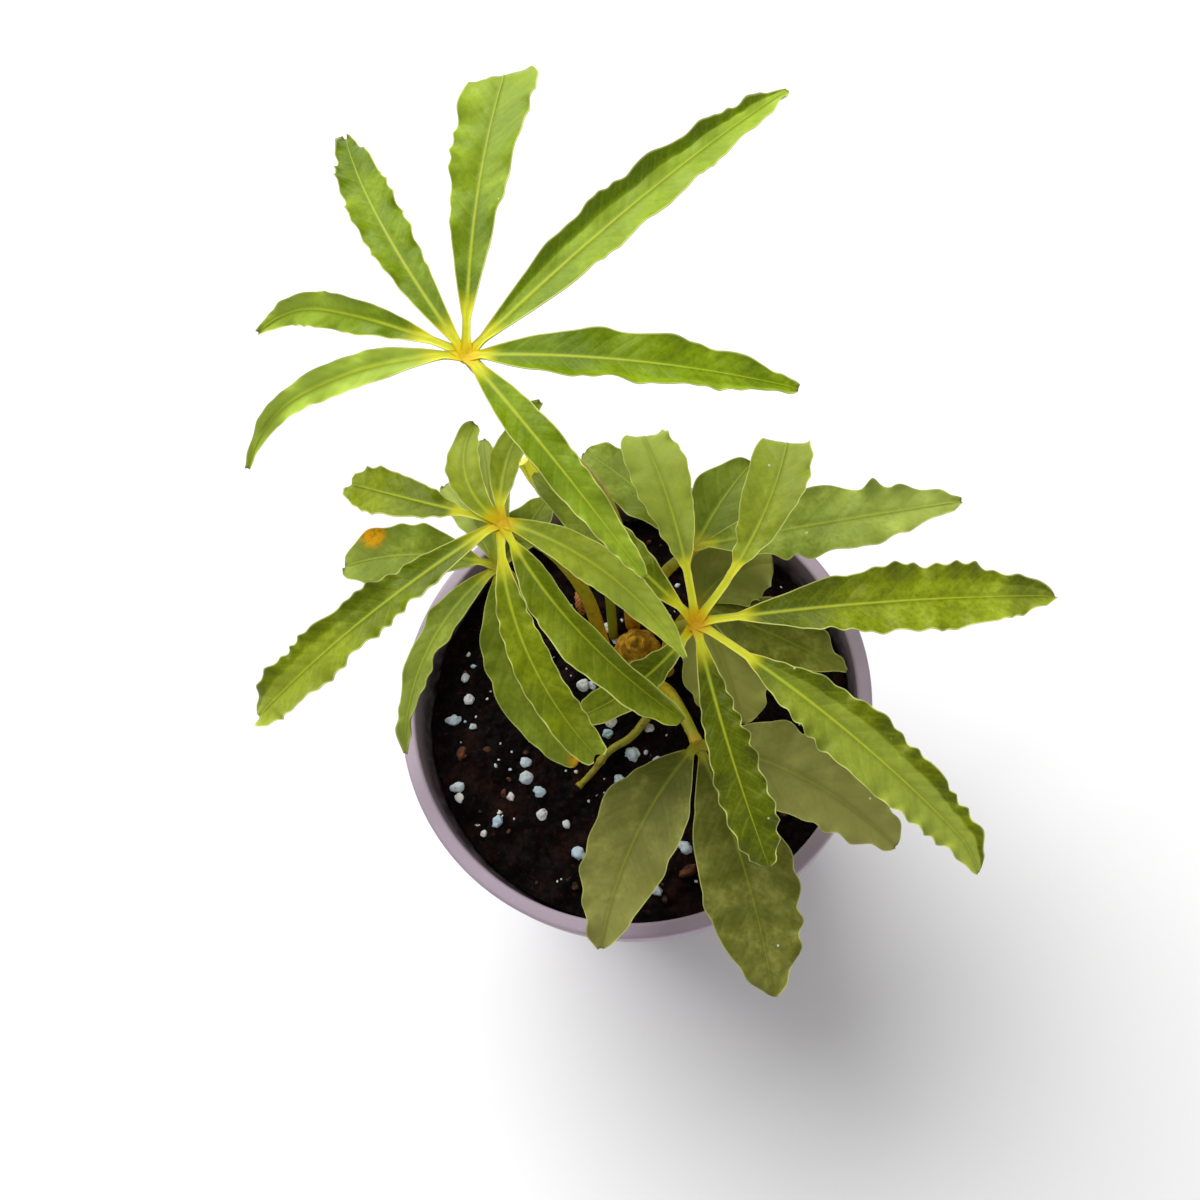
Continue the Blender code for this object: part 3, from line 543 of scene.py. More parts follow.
def new_material(name, *noises, marks=()):
    """A Principled material: itself, its node tree, the piece's own coordinates, the value of each noise,
    given as its grain in millimetres, its detail and its roughness, and the value of each mark."""
    material = bpy.data.materials.new(name)
    material.use_nodes = True
    tree = material.node_tree
    place = add_node(tree, "TexCoord", {}, "Object")
    values = [add_node(tree, "TexNoise", {"Vector": place, "Scale": 1 / (grain * MM), "Detail": detail,
                                          "Roughness": roughness}) for grain, detail, roughness in noises]
    values += [add_node(tree, "Attribute", {}, "Fac", attribute_name=mark) for mark in marks]
    return material, tree, place, *values


def paint(tree, base, layers, bumps, inputs):
    """Feeds a material's shader. Over the base colour others are mixed in turn: a layer's share goes from
    its fourth number to its fifth as its value goes from its second to its third. The bumps, each a
    height, its depth in millimetres and its strength, lie one on the other."""
    # A colour Mix takes the share and its two colours at inputs 0, 6 and 7, and gives the colour at output 2
    for value, low, high, share_low, share_high, colour in layers:
        share = add_node(tree, "MapRange", {0: value, 1: low, 2: high, 3: share_low, 4: share_high})
        base = add_node(tree, "Mix", {0: share, 6: base, 7: colour}, 2, data_type="RGBA")
    normal = {}
    for height, depth, strength in bumps:
        normal = {"Normal": add_node(tree, "Bump", {"Height": height, "Distance": depth * MM,
                                                    "Strength": strength, **normal})}
    feed(tree.nodes["Principled BSDF"], {"Base Color": base, **normal, **inputs})


def pot_material(settings):
    """Polypropylene, injection moulded with a fine matt texture: soft, even sheen, pale scuffs, and a
    film of soil with painted shade that darkens the inner wall deeper down, towards the soil."""
    material, tree, _, cloud, rubbed, soiled, grain, inside = new_material(
        "moulded_polypropylene", (14, 4, 0.5), (1.8, 6, 0.7), (3, 5, 0.65), (0.5, 2, 0.5), marks=["inside"])
    # Soil film and painted shade: the inner wall darkens with depth below the rim, towards the soil
    film_and_shade = add_node(tree, "MapRange", {0: soiled, 1: 0.30, 2: 0.55, 3: 0.55, 4: 1})
    paint(tree, settings.colour, (
        (cloud, 0.35, 0.75, 0, 0.30, settings.scuff),
        (rubbed, 0.60, 0.75, 0, 0.55, settings.scuff),
        (add_node(tree, "Math", {0: inside, 1: film_and_shade}, operation="MULTIPLY"), 0, 1, 0, 1, settings.film_and_shade),
    ), [(grain, 0.03, 0.6)], {
        "IOR": 1.49, "Roughness": add_node(tree, "MapRange", {0: cloud, 1: 0.3, 2: 0.7, 3: 0.42, 4: 0.56}),
    })
    return material


def peat_material(settings):
    """Moist sphagnum peat, milled to crumbs: near black, a little red-brown where fibres have dried, with
    small wet glints."""
    material, tree, _, patch, speck, wet, crumble = new_material(
        "moist_peat", (6, 5, 0.65), (1.3, 3, 0.5), (2.2, 3, 0.5), (0.7, 6, 0.7))
    paint(tree, settings.peat, (
        (patch, 0.50, 0.75, 0, 0.6, settings.fibre),
        (speck, 0.62, 0.74, 0, 0.8, settings.fibre),
    ), [(crumble, 0.35, 1)], {
        "IOR": 1.4, "Specular IOR Level": 0.12,
        "Roughness": add_node(tree, "MapRange", {0: wet, 1: 0.42, 2: 0.60, 3: 0.95, 4: 0.55}),
    })
    return material


def perlite_material(settings):
    """Expanded perlite, puffed volcanic glass: chalky white, cooler where it is moist, pitted and soiled."""
    material, tree, _, soiled, pits, moisture = new_material(
        "expanded_perlite", (1.1, 4, 0.65), (0.35, 4, 0.7), marks=["moisture"])
    paint(tree, settings.perlite, (
        (moisture, 0, 1, 0, 1, settings.moist),
        (soiled, 0.52, 0.74, 0, 0.5, "#6B5A50"),
    ), [(pits, 0.18, 1)], {"Roughness": 0.8})
    return material


def bark_material():
    """Pine bark and peat fibre, chipped: red-brown, dry."""
    material, tree, _, patch, streak = new_material("chipped_pine_bark", (2.5, 5, 0.7), (0.6, 5, 0.7))
    paint(tree, "#2A140C", [(patch, 0.40, 0.68, 0, 1, "#7A4324")], [(streak, 0.25, 1)], {"Roughness": 0.85})
    return material


def blade_material(name, finish, settings):
    """A leaf blade under its waxy cuticle: satin, with a yellow-green midrib, a thin pale margin, yellow
    necks, faint side veins and netting, a brown tip, and a paler, duller underside. Painted shade darkens
    the blade beside the midrib and towards the hub, and painted light and shade lie on the turned strips."""
    material, tree, place, zone, cloud, fine, swell, *marks = new_material(
        name, (18, 2, 0.5), (5, 5, 0.6), (0.9, 2, 0.5), (2.4, 1, 0.5),
        marks=("rib", "margin", "neck", "core", "vein", "across", "tip", "stain", "tint", "under"))
    rib, margin, neck, core, vein, across, tip, stain, tint, under = marks
    specks = add_node(tree, "TexVoronoi", {"Vector": place, "Scale": 1 / (9 * MM)})
    cells = add_node(tree, "TexVoronoi", {"Vector": place, "Scale": 1 / (1.5 * MM)},
                     feature="DISTANCE_TO_EDGE")
    way = add_node(tree, "Math", {0: vein, 1: 0.5}, operation="PINGPONG")
    slanted = add_node(tree, "CombineXYZ", {"X": vein, "Y": across})
    streak = add_node(tree, "TexNoise", {"Vector": slanted, "Scale": 4, "Detail": 3, "Roughness": 0.6})
    aged = add_node(tree, "MapRange", {0: fine, 1: 0.36, 2: 0.52, 3: 0.35, 4: 1})
    stained = add_node(tree, "Math", {0: stain, 1: aged}, operation="MULTIPLY")
    veins = finish.veins
    paint(tree, finish.dark, (
        (zone, 0.34, 0.58, 0, 1, finish.light),
        (cloud, 0.36, 0.62, finish.mottle, 0, finish.dark),
        (cloud, 0.55, 0.75, 0, 0.6 * finish.mottle, finish.pale),
        (fine, 0.40, 0.72, 0, 0.45, finish.dark),
        # Painted light and shade: the tone mark darkens or pales each leaflet, its base, its tip and its
        # turned strip
        (tint, -1, 0, 0.85, 0, finish.dark),
        (tint, 0, 1, 0, 0.9, finish.pale),
        (streak, 0.48, 0.72, 0, 0.10, finish.pale),
        (streak, 0.30, 0.46, 0.10, 0, finish.dark),
        (cells, 0, 0.12, 0.08 * veins, 0, settings.rib_colour),
        (way, 0.02, 0.10, 0.09 * veins, 0, settings.rib_colour),
        # Painted shade in the furrows beside the midrib
        (rib, 1.0, 4.0, 0.30, 0, finish.dark),
        (neck, 0, 1, 0, veins, settings.neck_colour),
        (rib, 0.25, 1.05, 0.76 * veins, 0, settings.rib_colour),
        (margin, 0.10, 0.26, 0.35 + 0.5 * veins, 0, settings.margin_colour),
        (core, 1.4, 3.6, 0.9, 0, finish.hub),
        (core, 0.2, 1.6, 0.25, 0, HUB_SCAR_COLOUR),
        (under, 0, 1, 0, 0.75, finish.under),
        (stained, 0, 1, 0, 1, settings.stain_colour),
        (specks, 0.018, 0.030, 0.7, 0, SPECK_COLOUR),
        (tip, 0.10, 0.50, 0.8, 0, settings.tip_colour),
    ), [(swell, 0.35, 0.6), (fine, 0.02, 0.8)], {
        "IOR": 1.45, "Specular IOR Level": 0.16,
        "Roughness": add_node(tree, "MapRange", {0: cloud, 1: 0.3, 2: 0.7, 3: finish.roughness - 0.05,
                                                 4: finish.roughness + 0.07}),
    })
    return material


def petiole_material():
    """A living leaf stalk: smooth and satin, orange-tan at its sheathed foot, olive and then yellow-green
    above, and yellow at the joint below the leaflets."""
    material, tree, _, streak, rise = new_material("petiole_epidermis", (1.6, 5, 0.5), marks=["rise"])
    paint(tree, "#DCA81C", (
        (rise, 0.12, 0.40, 0, 1, "#B4A410"),
        (rise, 0.45, 0.85, 0, 1, "#A0A012"),
        (rise, 0.86, 0.98, 0, 1, "#C4A808"),
        (streak, 0.45, 0.70, 0, 0.4, "#6E5E0E"),
    ), [(streak, 0.08, 1)], {"Roughness": 0.45, "IOR": 1.45})
    return material


def crown_material():
    """A young stem with the scars of fallen leaves: corky, orange-tan, mottled darker."""
    material, tree, _, cork = new_material("corky_stem", (2, 5, 0.65))
    paint(tree, "#906600", [(cork, 0.38, 0.66, 0, 1, "#F2BC1C")], [(cork, 0.08, 1)], {"Roughness": 0.7})
    return material


def new_leaf_material():
    """A blade that is still rolled: thin, moist and bright yellow-green, with darker lines along its
    turns."""
    material, tree, _, fine, rise, turn = new_material("rolled_young_blade", (0.8, 3, 0.5),
                                                       marks=("rise", "turn"))
    turns = add_node(tree, "Math", {0: turn, 1: 5}, operation="MULTIPLY")
    way = add_node(tree, "Math", {0: turns, 1: 0.5}, operation="PINGPONG")
    paint(tree, "#FFF838", (
        (way, 0.04, 0.22, 0.8, 0, "#B4B010"),
        (rise, 0.45, 0.62, 1, 0, "#8F9A1E"),
    ), [(fine, 0.06, 1)], {"Roughness": 0.35, "IOR": 1.45})
    return material


def old_stalk_material():
    """A withering leaf stalk: dull olive-yellow with brown flecks."""
    material, tree, _, fleck = new_material("withering_petiole", (1.6, 5, 0.65))
    paint(tree, "#A8A01E", [(fleck, 0.50, 0.74, 0, 1, "#6B4A16")], [(fleck, 0.15, 1)], {"Roughness": 0.6})
    return material


def sheath_material():
    """A dried leaf sheath: papery, orange-brown, veined along its length."""
    material, tree, _, fine, vein = new_material("papery_dried_sheath", (0.9, 4, 0.5), marks=["vein"])
    way = add_node(tree, "Math", {0: vein, 1: 0.5}, operation="PINGPONG")
    paint(tree, "#7A4414", [(way, 0.1, 0.4, 0, 1, "#B87430")], [(fine, 0.12, 1)], {"Roughness": 0.75})
    return material


def board_material(settings):
    """Board painted matt white: even, without sheen."""
    material, tree, _ = new_material("painted_board")
    paint(tree, settings.floor, (), (), {"Roughness": 0.9})
    return material


def wall_radius(height):
    """Outer radius of the pot's tapered wall at a height."""
    return float(np.interp(height, (EDGE_ROUND, POT_HEIGHT - LIP_HEIGHT),
                           (POT_BASE_RADIUS, POT_TOP_RADIUS - LIP_OVERHANG)))


def rounded(corners, steps=5):
    """A profile whose corners of (radius, height, rounding) are each cut back by their rounding and
    bridged by a parabola."""
    corners = np.asarray(corners, float)
    places = corners[:, :2]
    made = [places[:1]]
    t = np.linspace(0, 1, steps)[:, None]
    for before, corner, after, rounding in zip(places, places[1:], places[2:], corners[1:-1, 2]):
        if rounding == 0:
            made.append(corner[None])
            continue
        start = corner + (before - corner) / np.linalg.norm(before - corner) * rounding
        end = corner + (after - corner) / np.linalg.norm(after - corner) * rounding
        made.append((1 - t) ** 2 * start + 2 * t * (1 - t) * corner + t ** 2 * end)
    made.append(places[-1:])
    return np.vstack(made)


def divided(profile, longest):
    """The profile with its long stretches divided, so that no step is longer than that."""
    pieces = [profile[:1]]
    for before, after in zip(profile, profile[1:]):
        count = max(1, math.ceil(np.linalg.norm(after - before) / longest))
        share = np.arange(1, count + 1)[:, None] / count
        pieces.append(before + (after - before) * share)
    return np.vstack(pieces)


def pot_shape(segments):
    """The pot's profile carried round: tapered wall, straight lip band, rounded rim, ring under the lip."""
    band = POT_HEIGHT - LIP_HEIGHT
    foot = 1.0
    corners = [
        (0, 0, 0),
        (DRAIN_CIRCLE + 2 * DRAIN_RADIUS, 0, 0.3),
        (DRAIN_CIRCLE + 2 * DRAIN_RADIUS + 0.8, 0, 0.3),
        (POT_BASE_RADIUS, 0, EDGE_ROUND),
        (wall_radius(foot) + 0.02, foot, 0.0),
        (wall_radius(band), band, 0.25),
        (POT_TOP_RADIUS - LIP_TAPER, band, 0.45),
        (POT_TOP_RADIUS, POT_HEIGHT, 0.9),
        (LIP_INNER_RADIUS, POT_HEIGHT, 0.8),
        (LIP_INNER_RADIUS - 0.1, POT_HEIGHT - 6.8, 0.4),
        (wall_radius(band) - POT_WALL, band, 0.4),
        (wall_radius(POT_FLOOR) - POT_WALL, POT_FLOOR, 0.9),
        (0, POT_FLOOR, 0),
    ]
    profile = divided(rounded(corners, 7), 4.0)
    top = int(np.argmax(profile[:, 1] >= POT_HEIGHT - 0.01))
    depth = POT_HEIGHT - profile[:, 1]
    # The inside mark grows with depth below the rim: it places the soil film and its painted shade
    inside = np.where(np.arange(len(profile)) > top, smooth_step(depth, 1.5, POT_HEIGHT - SOIL_TOP), 0)
    return lathe(profile, segments, marks={"inside": inside[1:-1]})


def cut(piece, tools):
    """Cuts the tools from a piece by one Boolean on their collection, applies it and removes them."""
    group = bpy.data.collections.new("drain_cutters")
    bpy.context.scene.collection.children.link(group)
    for tool in tools:
        group.objects.link(tool)
    boolean = piece.modifiers.new("drain", "BOOLEAN")
    boolean.operation = "DIFFERENCE"
    boolean.operand_type = "COLLECTION"
    boolean.collection = group
    graph = bpy.context.evaluated_depsgraph_get()
    mesh = bpy.data.meshes.new_from_object(piece.evaluated_get(graph))
    piece.modifiers.clear()
    piece.data = mesh
    for tool in tools:
        bpy.data.objects.remove(tool)
    bpy.data.collections.remove(group)


def soil_height(x, y):
    """Height of the uneven soil: three low waves that cross, and a slight mound round the crown."""
    lumps = (np.sin(0.31 * x + 0.8) * np.sin(0.27 * y - 0.4) + 0.5 * np.sin(0.53 * x - 0.45 * y)
             + 0.4 * np.sin(0.22 * x + 0.61 * y + 1.9))
    away = np.hypot(x - CROWN_PLACE[0], y - CROWN_PLACE[1])
    return SOIL_TOP + SOIL_LUMP * lumps + MOUND_HEIGHT * np.exp(-(away / MOUND_REACH) ** 2)


def soil_shape(settings):
    """The soil: a polar grid whose height is the CAD part's, with crumbs of three sizes standing on
    it, then down the pot's wall to its floor."""
    top_radius = wall_radius(SOIL_TOP) - POT_WALL - SOIL_GAP
    floor = POT_FLOOR + CLEARANCE
    rings, segments = 150, 440
    radii = top_radius * (np.arange(rings, 0, -1) / rings)
    profile = [(0, floor), (wall_radius(floor) - POT_WALL - SOIL_GAP, floor)]
    profile += [(radius, SOIL_TOP) for radius in radii] + [(0, SOIL_TOP)]
    shape = lathe(profile, segments)
    points = shape.points
    top = points[:, 2] > floor + 1
    x, y = points[top, 0], points[top, 1]
    crumb = settings.crumb / MM
    relief = (0.55 * crumbs(x, y, crumb, 3) + 0.45 * crumbs(x, y, crumb * 0.55, 4)
              + 0.25 * crumbs(x, y, crumb * 0.27, 5) + 0.3 * value_noise(x, y, crumb * 2.5, 6))
    level = relief - relief.mean()
    points[top, 2] = soil_height(x, y) + settings.relief / MM * 1.6 * level
    return shape


def clear_of_pieces(x, y, others):
    """Whether a small grain at x, y keeps its distance from the crown, the sheath, the old stalk and
    other grains."""
    if math.hypot(x - CROWN_PLACE[0], y - CROWN_PLACE[1]) < STALK_CIRCLE + GRAIN_SPACING:
        return False
    if math.hypot(x - SHEATH_PLACE[0], y - SHEATH_PLACE[1]) < 2 * GRAIN_SPACING:
        return False
    if any(math.hypot(x - px, y - py) < GRAIN_SPACING for px, py in OLD_STALK_ROUTE):
        return False
    return all(math.hypot(x - px, y - py) > GRAIN_SPACING for px, py, _ in others)


def grain_places():
    """The CAD part's grains: the large ones, and small ones by the same draw."""
    draw = random.Random(GRAIN_SEED)
    grains = list(LARGE_GRAINS)
    while len(grains) < len(LARGE_GRAINS) + SMALL_GRAINS:
        distance = GRAIN_CIRCLE * math.sqrt(draw.random())
        angle = draw.uniform(0, 2 * math.pi)
        x, y = distance * math.cos(angle), distance * math.sin(angle)
        if clear_of_pieces(x, y, grains):
            grains.append((x, y, draw.uniform(*SMALL_GRAIN_WIDTHS)))
    return grains


def crumb_places(count, seed):
    """Crumbs scattered over the soil by a seeded draw, clear of the crown."""
    draw = np.random.default_rng(seed)
    distance = CRUMB_CIRCLE * np.sqrt(draw.random(count))
    angle = draw.uniform(0, 2 * math.pi, count)
    x, y = distance * np.cos(angle), distance * np.sin(angle)
    width = CRUMB_WIDTHS[0] + (CRUMB_WIDTHS[1] - CRUMB_WIDTHS[0]) * draw.random(count) ** 2
    clear = np.hypot(x - CROWN_PLACE[0], y - CROWN_PLACE[1]) > STALK_CIRCLE + STALK_FOOT_RADIUS
    return np.column_stack([x, y, width])[clear]


def grain_shape(x, y, width, seed, rough, detail=GRAIN_DETAIL):
    """A puffed grain: a ball stretched three ways, whose radius grows and shrinks by noise read at
    each direction from its middle."""
    sides, rows = detail
    draw = np.random.default_rng(seed)
    angle = round_angles(sides)
    tilt = np.linspace(-math.pi / 2, math.pi / 2, rows + 2)
    ball = np.stack([np.cos(tilt)[:, None] * np.cos(angle), np.cos(tilt)[:, None] * np.sin(angle),
                     np.broadcast_to(np.sin(tilt)[:, None], (rows + 2, sides))], -1)
    swell, pits = (sum(value_noise(ball[..., a] + seed, ball[..., b] - seed, cell, seed + a)
                       for a, b in ((0, 1), (1, 2), (2, 0))) for cell in (0.55, 0.22))
    reach = width / 2 * (1 + rough * swell / 2 + 0.4 * rough * pits / 2)
    stretch = np.array([draw.uniform(0.9, 1.15), draw.uniform(0.72, 0.95), draw.uniform(0.62, 0.8)])
    turn = draw.uniform(0, math.pi)
    spin = np.array([[math.cos(turn), math.sin(turn), 0], [-math.sin(turn), math.cos(turn), 0], [0, 0, 1]])
    centre = np.array([x, y, float(soil_height(x, y)) + 0.12 * width])
    points = (ball * reach[..., None] * stretch) @ spin + centre
    return closed_rings(points[1:-1], points[0].mean(0), points[-1].mean(0), {"moisture": draw.random()})


def crown_shape():
    """The crown: the CAD part's ringed profile carried round, drawn out to the foot of each stalk as its
    sheath and drawn in between them, with a pointed bud."""
    ring_radius = STALK_CIRCLE - STALK_FOOT_RADIUS - CLEARANCE
    collar = SOIL_TOP + COLLAR_HEIGHT
    corners = [(0, HOLE_BOTTOM + CLEARANCE, 0), (CROWN_RADIUS, HOLE_BOTTOM + CLEARANCE, 0.3),
               (CROWN_RADIUS, collar, 0.4)]
    for k in range(CROWN_RINGS):
        low = collar + k * CROWN_HEIGHT / (CROWN_RINGS + 1)
        shrink = 1 / (1 + 0.62 * k)
        corners.append((ring_radius * shrink, low + 0.7, 0.60))
        corners.append((ring_radius * shrink * 0.86, low + 2.4, 0.80))
    tip = SOIL_TOP + CROWN_HEIGHT + BUD_HEIGHT
    corners += [(1.5, tip - 2.4, 0.5), (0.6, tip - 0.4, 0.3), (0, tip, 0)]
    shape = lathe(divided(rounded(corners, 5), 0.5), 72, CROWN_PLACE)
    points = shape.points
    out = points[:, :2] - CROWN_PLACE
    angle = np.arctan2(out[:, 1], out[:, 0])
    rough = value_noise(np.cos(angle) * 4, np.sin(angle) * 4 + points[:, 2], 1.1, 21)
    sheath = bells(angle, [leaf.foot for leaf in LEAVES] + [NEW_LEAF_FOOT], 0.60)
    above = smooth_step(points[:, 2], SOIL_TOP + 0.5, collar + 1)
    points[:, :2] += out * (0.02 * rough + above * (0.26 * sheath - 0.20))[:, None]
    return shape


def half_width(leaflet, t):
    """Half the blade's width along its length: a thin neck, a swell to the belly that opens evenly from
    the neck, and a fall to the tip, which is blunter the smaller the point."""
    swell = np.sqrt(smooth_step(t, leaflet.neck, leaflet.belly))
    fall = 1 - np.clip((t - leaflet.belly) / (1 - leaflet.belly), 0, 1) ** 2
    full = (leaflet.width - NECK_WIDTH) / 2 * swell * fall ** leaflet.point
    return full + (NECK_WIDTH + (TIP_WIDTH - NECK_WIDTH) * smooth_step(t, leaflet.belly, 1)) / 2


def blade_columns(count):
    """Places from -1 to 1 across a blade, closest together at the midrib and at both margins."""
    even = np.linspace(-1, 1, count)
    return even - 0.62 * np.sin(2 * math.pi * even) / (2 * math.pi)


def midrib_frame(leaflet, t, hub):
    """The midrib's line and its directions ahead, to the left side and up: the slope and the heading
    change along the length, and steps along the direction ahead add up to the line."""
    end = smooth_step(t, leaflet.curl_from, 1)
    pitch = np.radians(leaflet.rise - leaflet.droop * t - leaflet.curl * end)
    heading = np.radians(leaflet.heading + leaflet.sweep * t + leaflet.hook * end)
    flat = np.stack([np.cos(heading), np.sin(heading), np.zeros_like(t)], 1)
    side = np.stack([-np.sin(heading), np.cos(heading), np.zeros_like(t)], 1)
    ahead = flat * np.cos(pitch)[:, None] + np.array([0, 0, 1]) * np.sin(pitch)[:, None]
    lift = np.cross(ahead, side)
    roll = np.radians(leaflet.roll) * smooth_step(t, 0, 0.5)[:, None]
    side, lift = side * np.cos(roll) + lift * np.sin(roll), lift * np.cos(roll) - side * np.sin(roll)
    steps = (ahead[1:] + ahead[:-1]) / 2 * leaflet.length / (len(t) - 1)
    midrib = np.asarray(hub, float) + np.vstack([np.zeros(3), np.cumsum(steps, 0)])
    return midrib, ahead, side, lift


def blade_sides(t, reach, edge, width, rib_half, up, settings):
    """How high a blade's top and underside lie, given its middle height: half the thickness up and down,
    less towards the margins. The midrib stands up as a rounded ridge between two faint furrows, and the
    neck is round underneath and a channel on top, between margins that turn up."""
    plate = settings.thickness / MM / 2 * (1 - EDGE_THINNING * edge ** 6)
    rod = NECK_THICKNESS / 2 * np.sqrt(np.maximum(1 - 0.97 * edge ** 2, 0))
    neck = 1 - smooth_step(t, 0.03, 0.26)
    up = up + NECK_WING * edge ** 3 * neck * smooth_step(reach, 0.8, 4.0)
    ridge = np.exp(-(edge * width / rib_half) ** 2) * (1 - smooth_step(t, 0.95, 1))
    beside = np.exp(-(edge * width / (2.4 * rib_half)) ** 2) * (1 - neck)
    top = up + plate * (1 - neck) + NECK_CHANNEL * neck + RIB_RISE * ridge - RIB_FURROW * beside
    under = up - plate * (1 - neck) - rod * neck - RIB_UNDER * ridge * (1 - neck) * (1 - 0.6 * t)
    return top, under


def closed_sheet(base, lift, top, under):
    """The points and quads of a closed sheet: each row of the base, raised by its top heights, then back
    the other way, raised by its under heights. The first and the last row are each closed by a cap."""
    sheet = np.concatenate([base + lift[:, None] * top[..., None],
                            (base + lift[:, None] * under[..., None])[:, ::-1]], 1)
    rows, ring = sheet.shape[:2]
    j = np.arange(ring // 2 - 1)
    opposite = ring - 1 - j
    caps = np.stack([j, j + 1, opposite - 1, opposite], 1)
    quads = np.vstack([grid_quads(rows, ring, True), caps, caps[:, ::-1] + (rows - 1) * ring])
    return sheet.reshape(-1, 3), quads


def blade_marks(leaflet, margin, t, columns, width, rib_half, vein, turned):
    """What a blade's material reads at each point of its top and underside: how far the point is from the
    midrib, in the rib's half widths, and from the margin, the hub and the tip, in millimetres, where it is
    between two side veins and along them, how far it belongs to the neck and to the aged spot, how much
    paler or darker it is, by its own tone and by painted light and shade, and whether it is underneath."""
    reach = t * leaflet.length
    edge = np.abs(columns)
    stain = 0.0
    if leaflet.stain:
        share, across, radius = leaflet.stain
        away = np.hypot(reach - share * leaflet.length, columns * width - across * leaflet.width / 2)
        stain = 1 - smooth_step(away / radius, 0.45, 1.25)
    marks = {
        "rib": edge * width / rib_half + RIB_FADE * t ** 2,
        "margin": (1 - edge) * width + 0.4 * (1 - smooth_step(reach, 1.5, 3.5)),
        "neck": (1 - smooth_step(width, 0.75, 2.1)) * (1 - smooth_step(t, 0.3, 0.5)),
        "core": reach,
        "vein": vein,
        "across": edge * width / (4 * margin.vein_spacing),
        "tip": (1 - t) * leaflet.length + 2.5 * (leaflet.notch > 0),
        "stain": stain,
        # Tone with painted light and shade: darker towards the hub, paler towards the tip, and lighter or
        # darker on the turned strip
        "tint": leaflet.tone + TIP_PALER * (t - 0.4) + leaflet.lip_tone * turned,
    }
    marks = {name: np.broadcast_to(value, (len(t), len(columns))) for name, value in marks.items()}
    marks = {name: np.concatenate([value, value[:, ::-1]], 1).ravel() for name, value in marks.items()}
    marks["under"] = np.tile(np.repeat([0.0, 1.0], len(columns)), len(t))
    return marks


def blade_shape(leaflet, margin, hub, seed, settings):
    """One leaflet as a closed sheet.

    Along it runs the midrib, and across it lie two halves lifted by the cup, which fades where a curled
    end lies flat. Their edges go in and out by the scallop and the small frill, and up and down by the
    wave and the same frill, which both grow with the square of the way to the margin. The outer strip on
    the lip's side slopes up by the lip's angle. Between side veins, which lean towards the tip, the blade
    swells by the quilt, and the whole half by soft irregular billows. The neck widens where it joins the
    hub.
    """
    stations = np.linspace(0, 1, int(END_ROWS + leaflet.length / ROW_SPACING))
    columns = blade_columns(BLADE_COLUMNS)
    midrib, ahead, side, lift = midrib_frame(leaflet, stations, hub)
    t = stations[:, None]
    reach = t * leaflet.length
    edge = np.abs(columns)
    left = columns > 0
    phase = 2 * math.pi * reach / margin.wavelength + EDGE_LAG * left
    alive = smooth_step(t, 0.15, 0.4)
    end_fade = 1 - smooth_step(t, 0.95, 1)

    # Each margin of each blade reads the noise along a line of its own
    line = np.where(left, 3.0, 31.0) + seed * 5.3
    along = np.broadcast_to(reach, (len(t), len(columns)))
    drift = value_noise(along, line, DRIFT_LENGTH, seed)
    vigour = value_noise(along, line, VIGOUR_LENGTH, seed + 40)
    small = 2 * math.pi * reach / margin.frill_length + 3.4 * drift + seed + 1.3 * left
    depth = margin.frill * leaflet.ruffle * alive * end_fade * np.maximum(0.85 + 1.1 * vigour, 0.1)
    blunt = leaflet.notch * 0.9 * smooth_step(t, 0.5, 0.97)
    width = half_width(leaflet, t) * (1 + margin.scallop * alive * np.sin(phase)) + blunt
    width = width + depth * (0.5 * np.abs(np.sin(small / 2)) - 0.25 * np.cos(small) - 0.3)
    width = width + NECK_FLARE * np.exp(-(reach / NECK_FLARE_REACH) ** 2)

    fold = min(leaflet.curl / 90, 1) * smooth_step(t, leaflet.curl_from - 0.15, leaflet.curl_from + 0.05)
    cup = math.radians(leaflet.cup) * (1 - fold)
    out = columns * width * np.cos(cup)
    up = edge * width * np.sin(cup)
    up = up + leaflet.wave * edge ** 2 * alive * (np.sin(phase + 1.3) + 0.3 * np.sin(2 * phase + seed))
    up = up + 0.9 * depth * edge ** 4 * np.sin(small) + 0.35 * edge ** 5 * alive * (1 + drift)
    lip_side = left == (leaflet.lip > 0)
    lip = math.tan(math.radians(abs(leaflet.lip))) * lip_side
    turned = lip_side * smooth_step(edge, LIP_FROM - 0.06, LIP_FROM + 0.04)
    strip = np.maximum(edge - LIP_FROM, 0) * width * smooth_step(t, 0.08, 0.3)
    up = up + lip * strip * (1 - smooth_step(t, 0.85, 1))

    lean = edge * width * 0.75 * (1 + 0.5 * edge)
    vein = (reach - lean) / margin.vein_spacing + 0.5 * left
    calm = smooth_step(edge * width, 0.4, 1.6) * (1 - smooth_step(edge, 0.82, 0.97)) * alive
    up = up + settings.quilt / MM * calm * (np.abs(np.sin(math.pi * vein)) - 0.6)
    hills = value_noise(along, columns * width + 20 * seed, BILLOW_LENGTH, seed + 80)
    up = up + settings.billow / MM * smooth_step(edge * width, 0.4, 2.4) * alive * hills

    rib_half = settings.rib / MM * (1 - RIB_THINNING * t)
    top, under = blade_sides(t, reach, edge, width, rib_half, up, settings)
    back = -leaflet.notch * (1 - edge ** 1.5) * smooth_step(t, 0.88, 1)
    base = midrib[:, None] + ahead[:, None] * back[..., None] + side[:, None] * out[..., None]
    points, quads = closed_sheet(base, lift, top, under)
    marks = blade_marks(leaflet, margin, t, columns, width, rib_half, vein, turned)
    return Shape(points, quads, np.empty((0, 3), int), marks, 0)


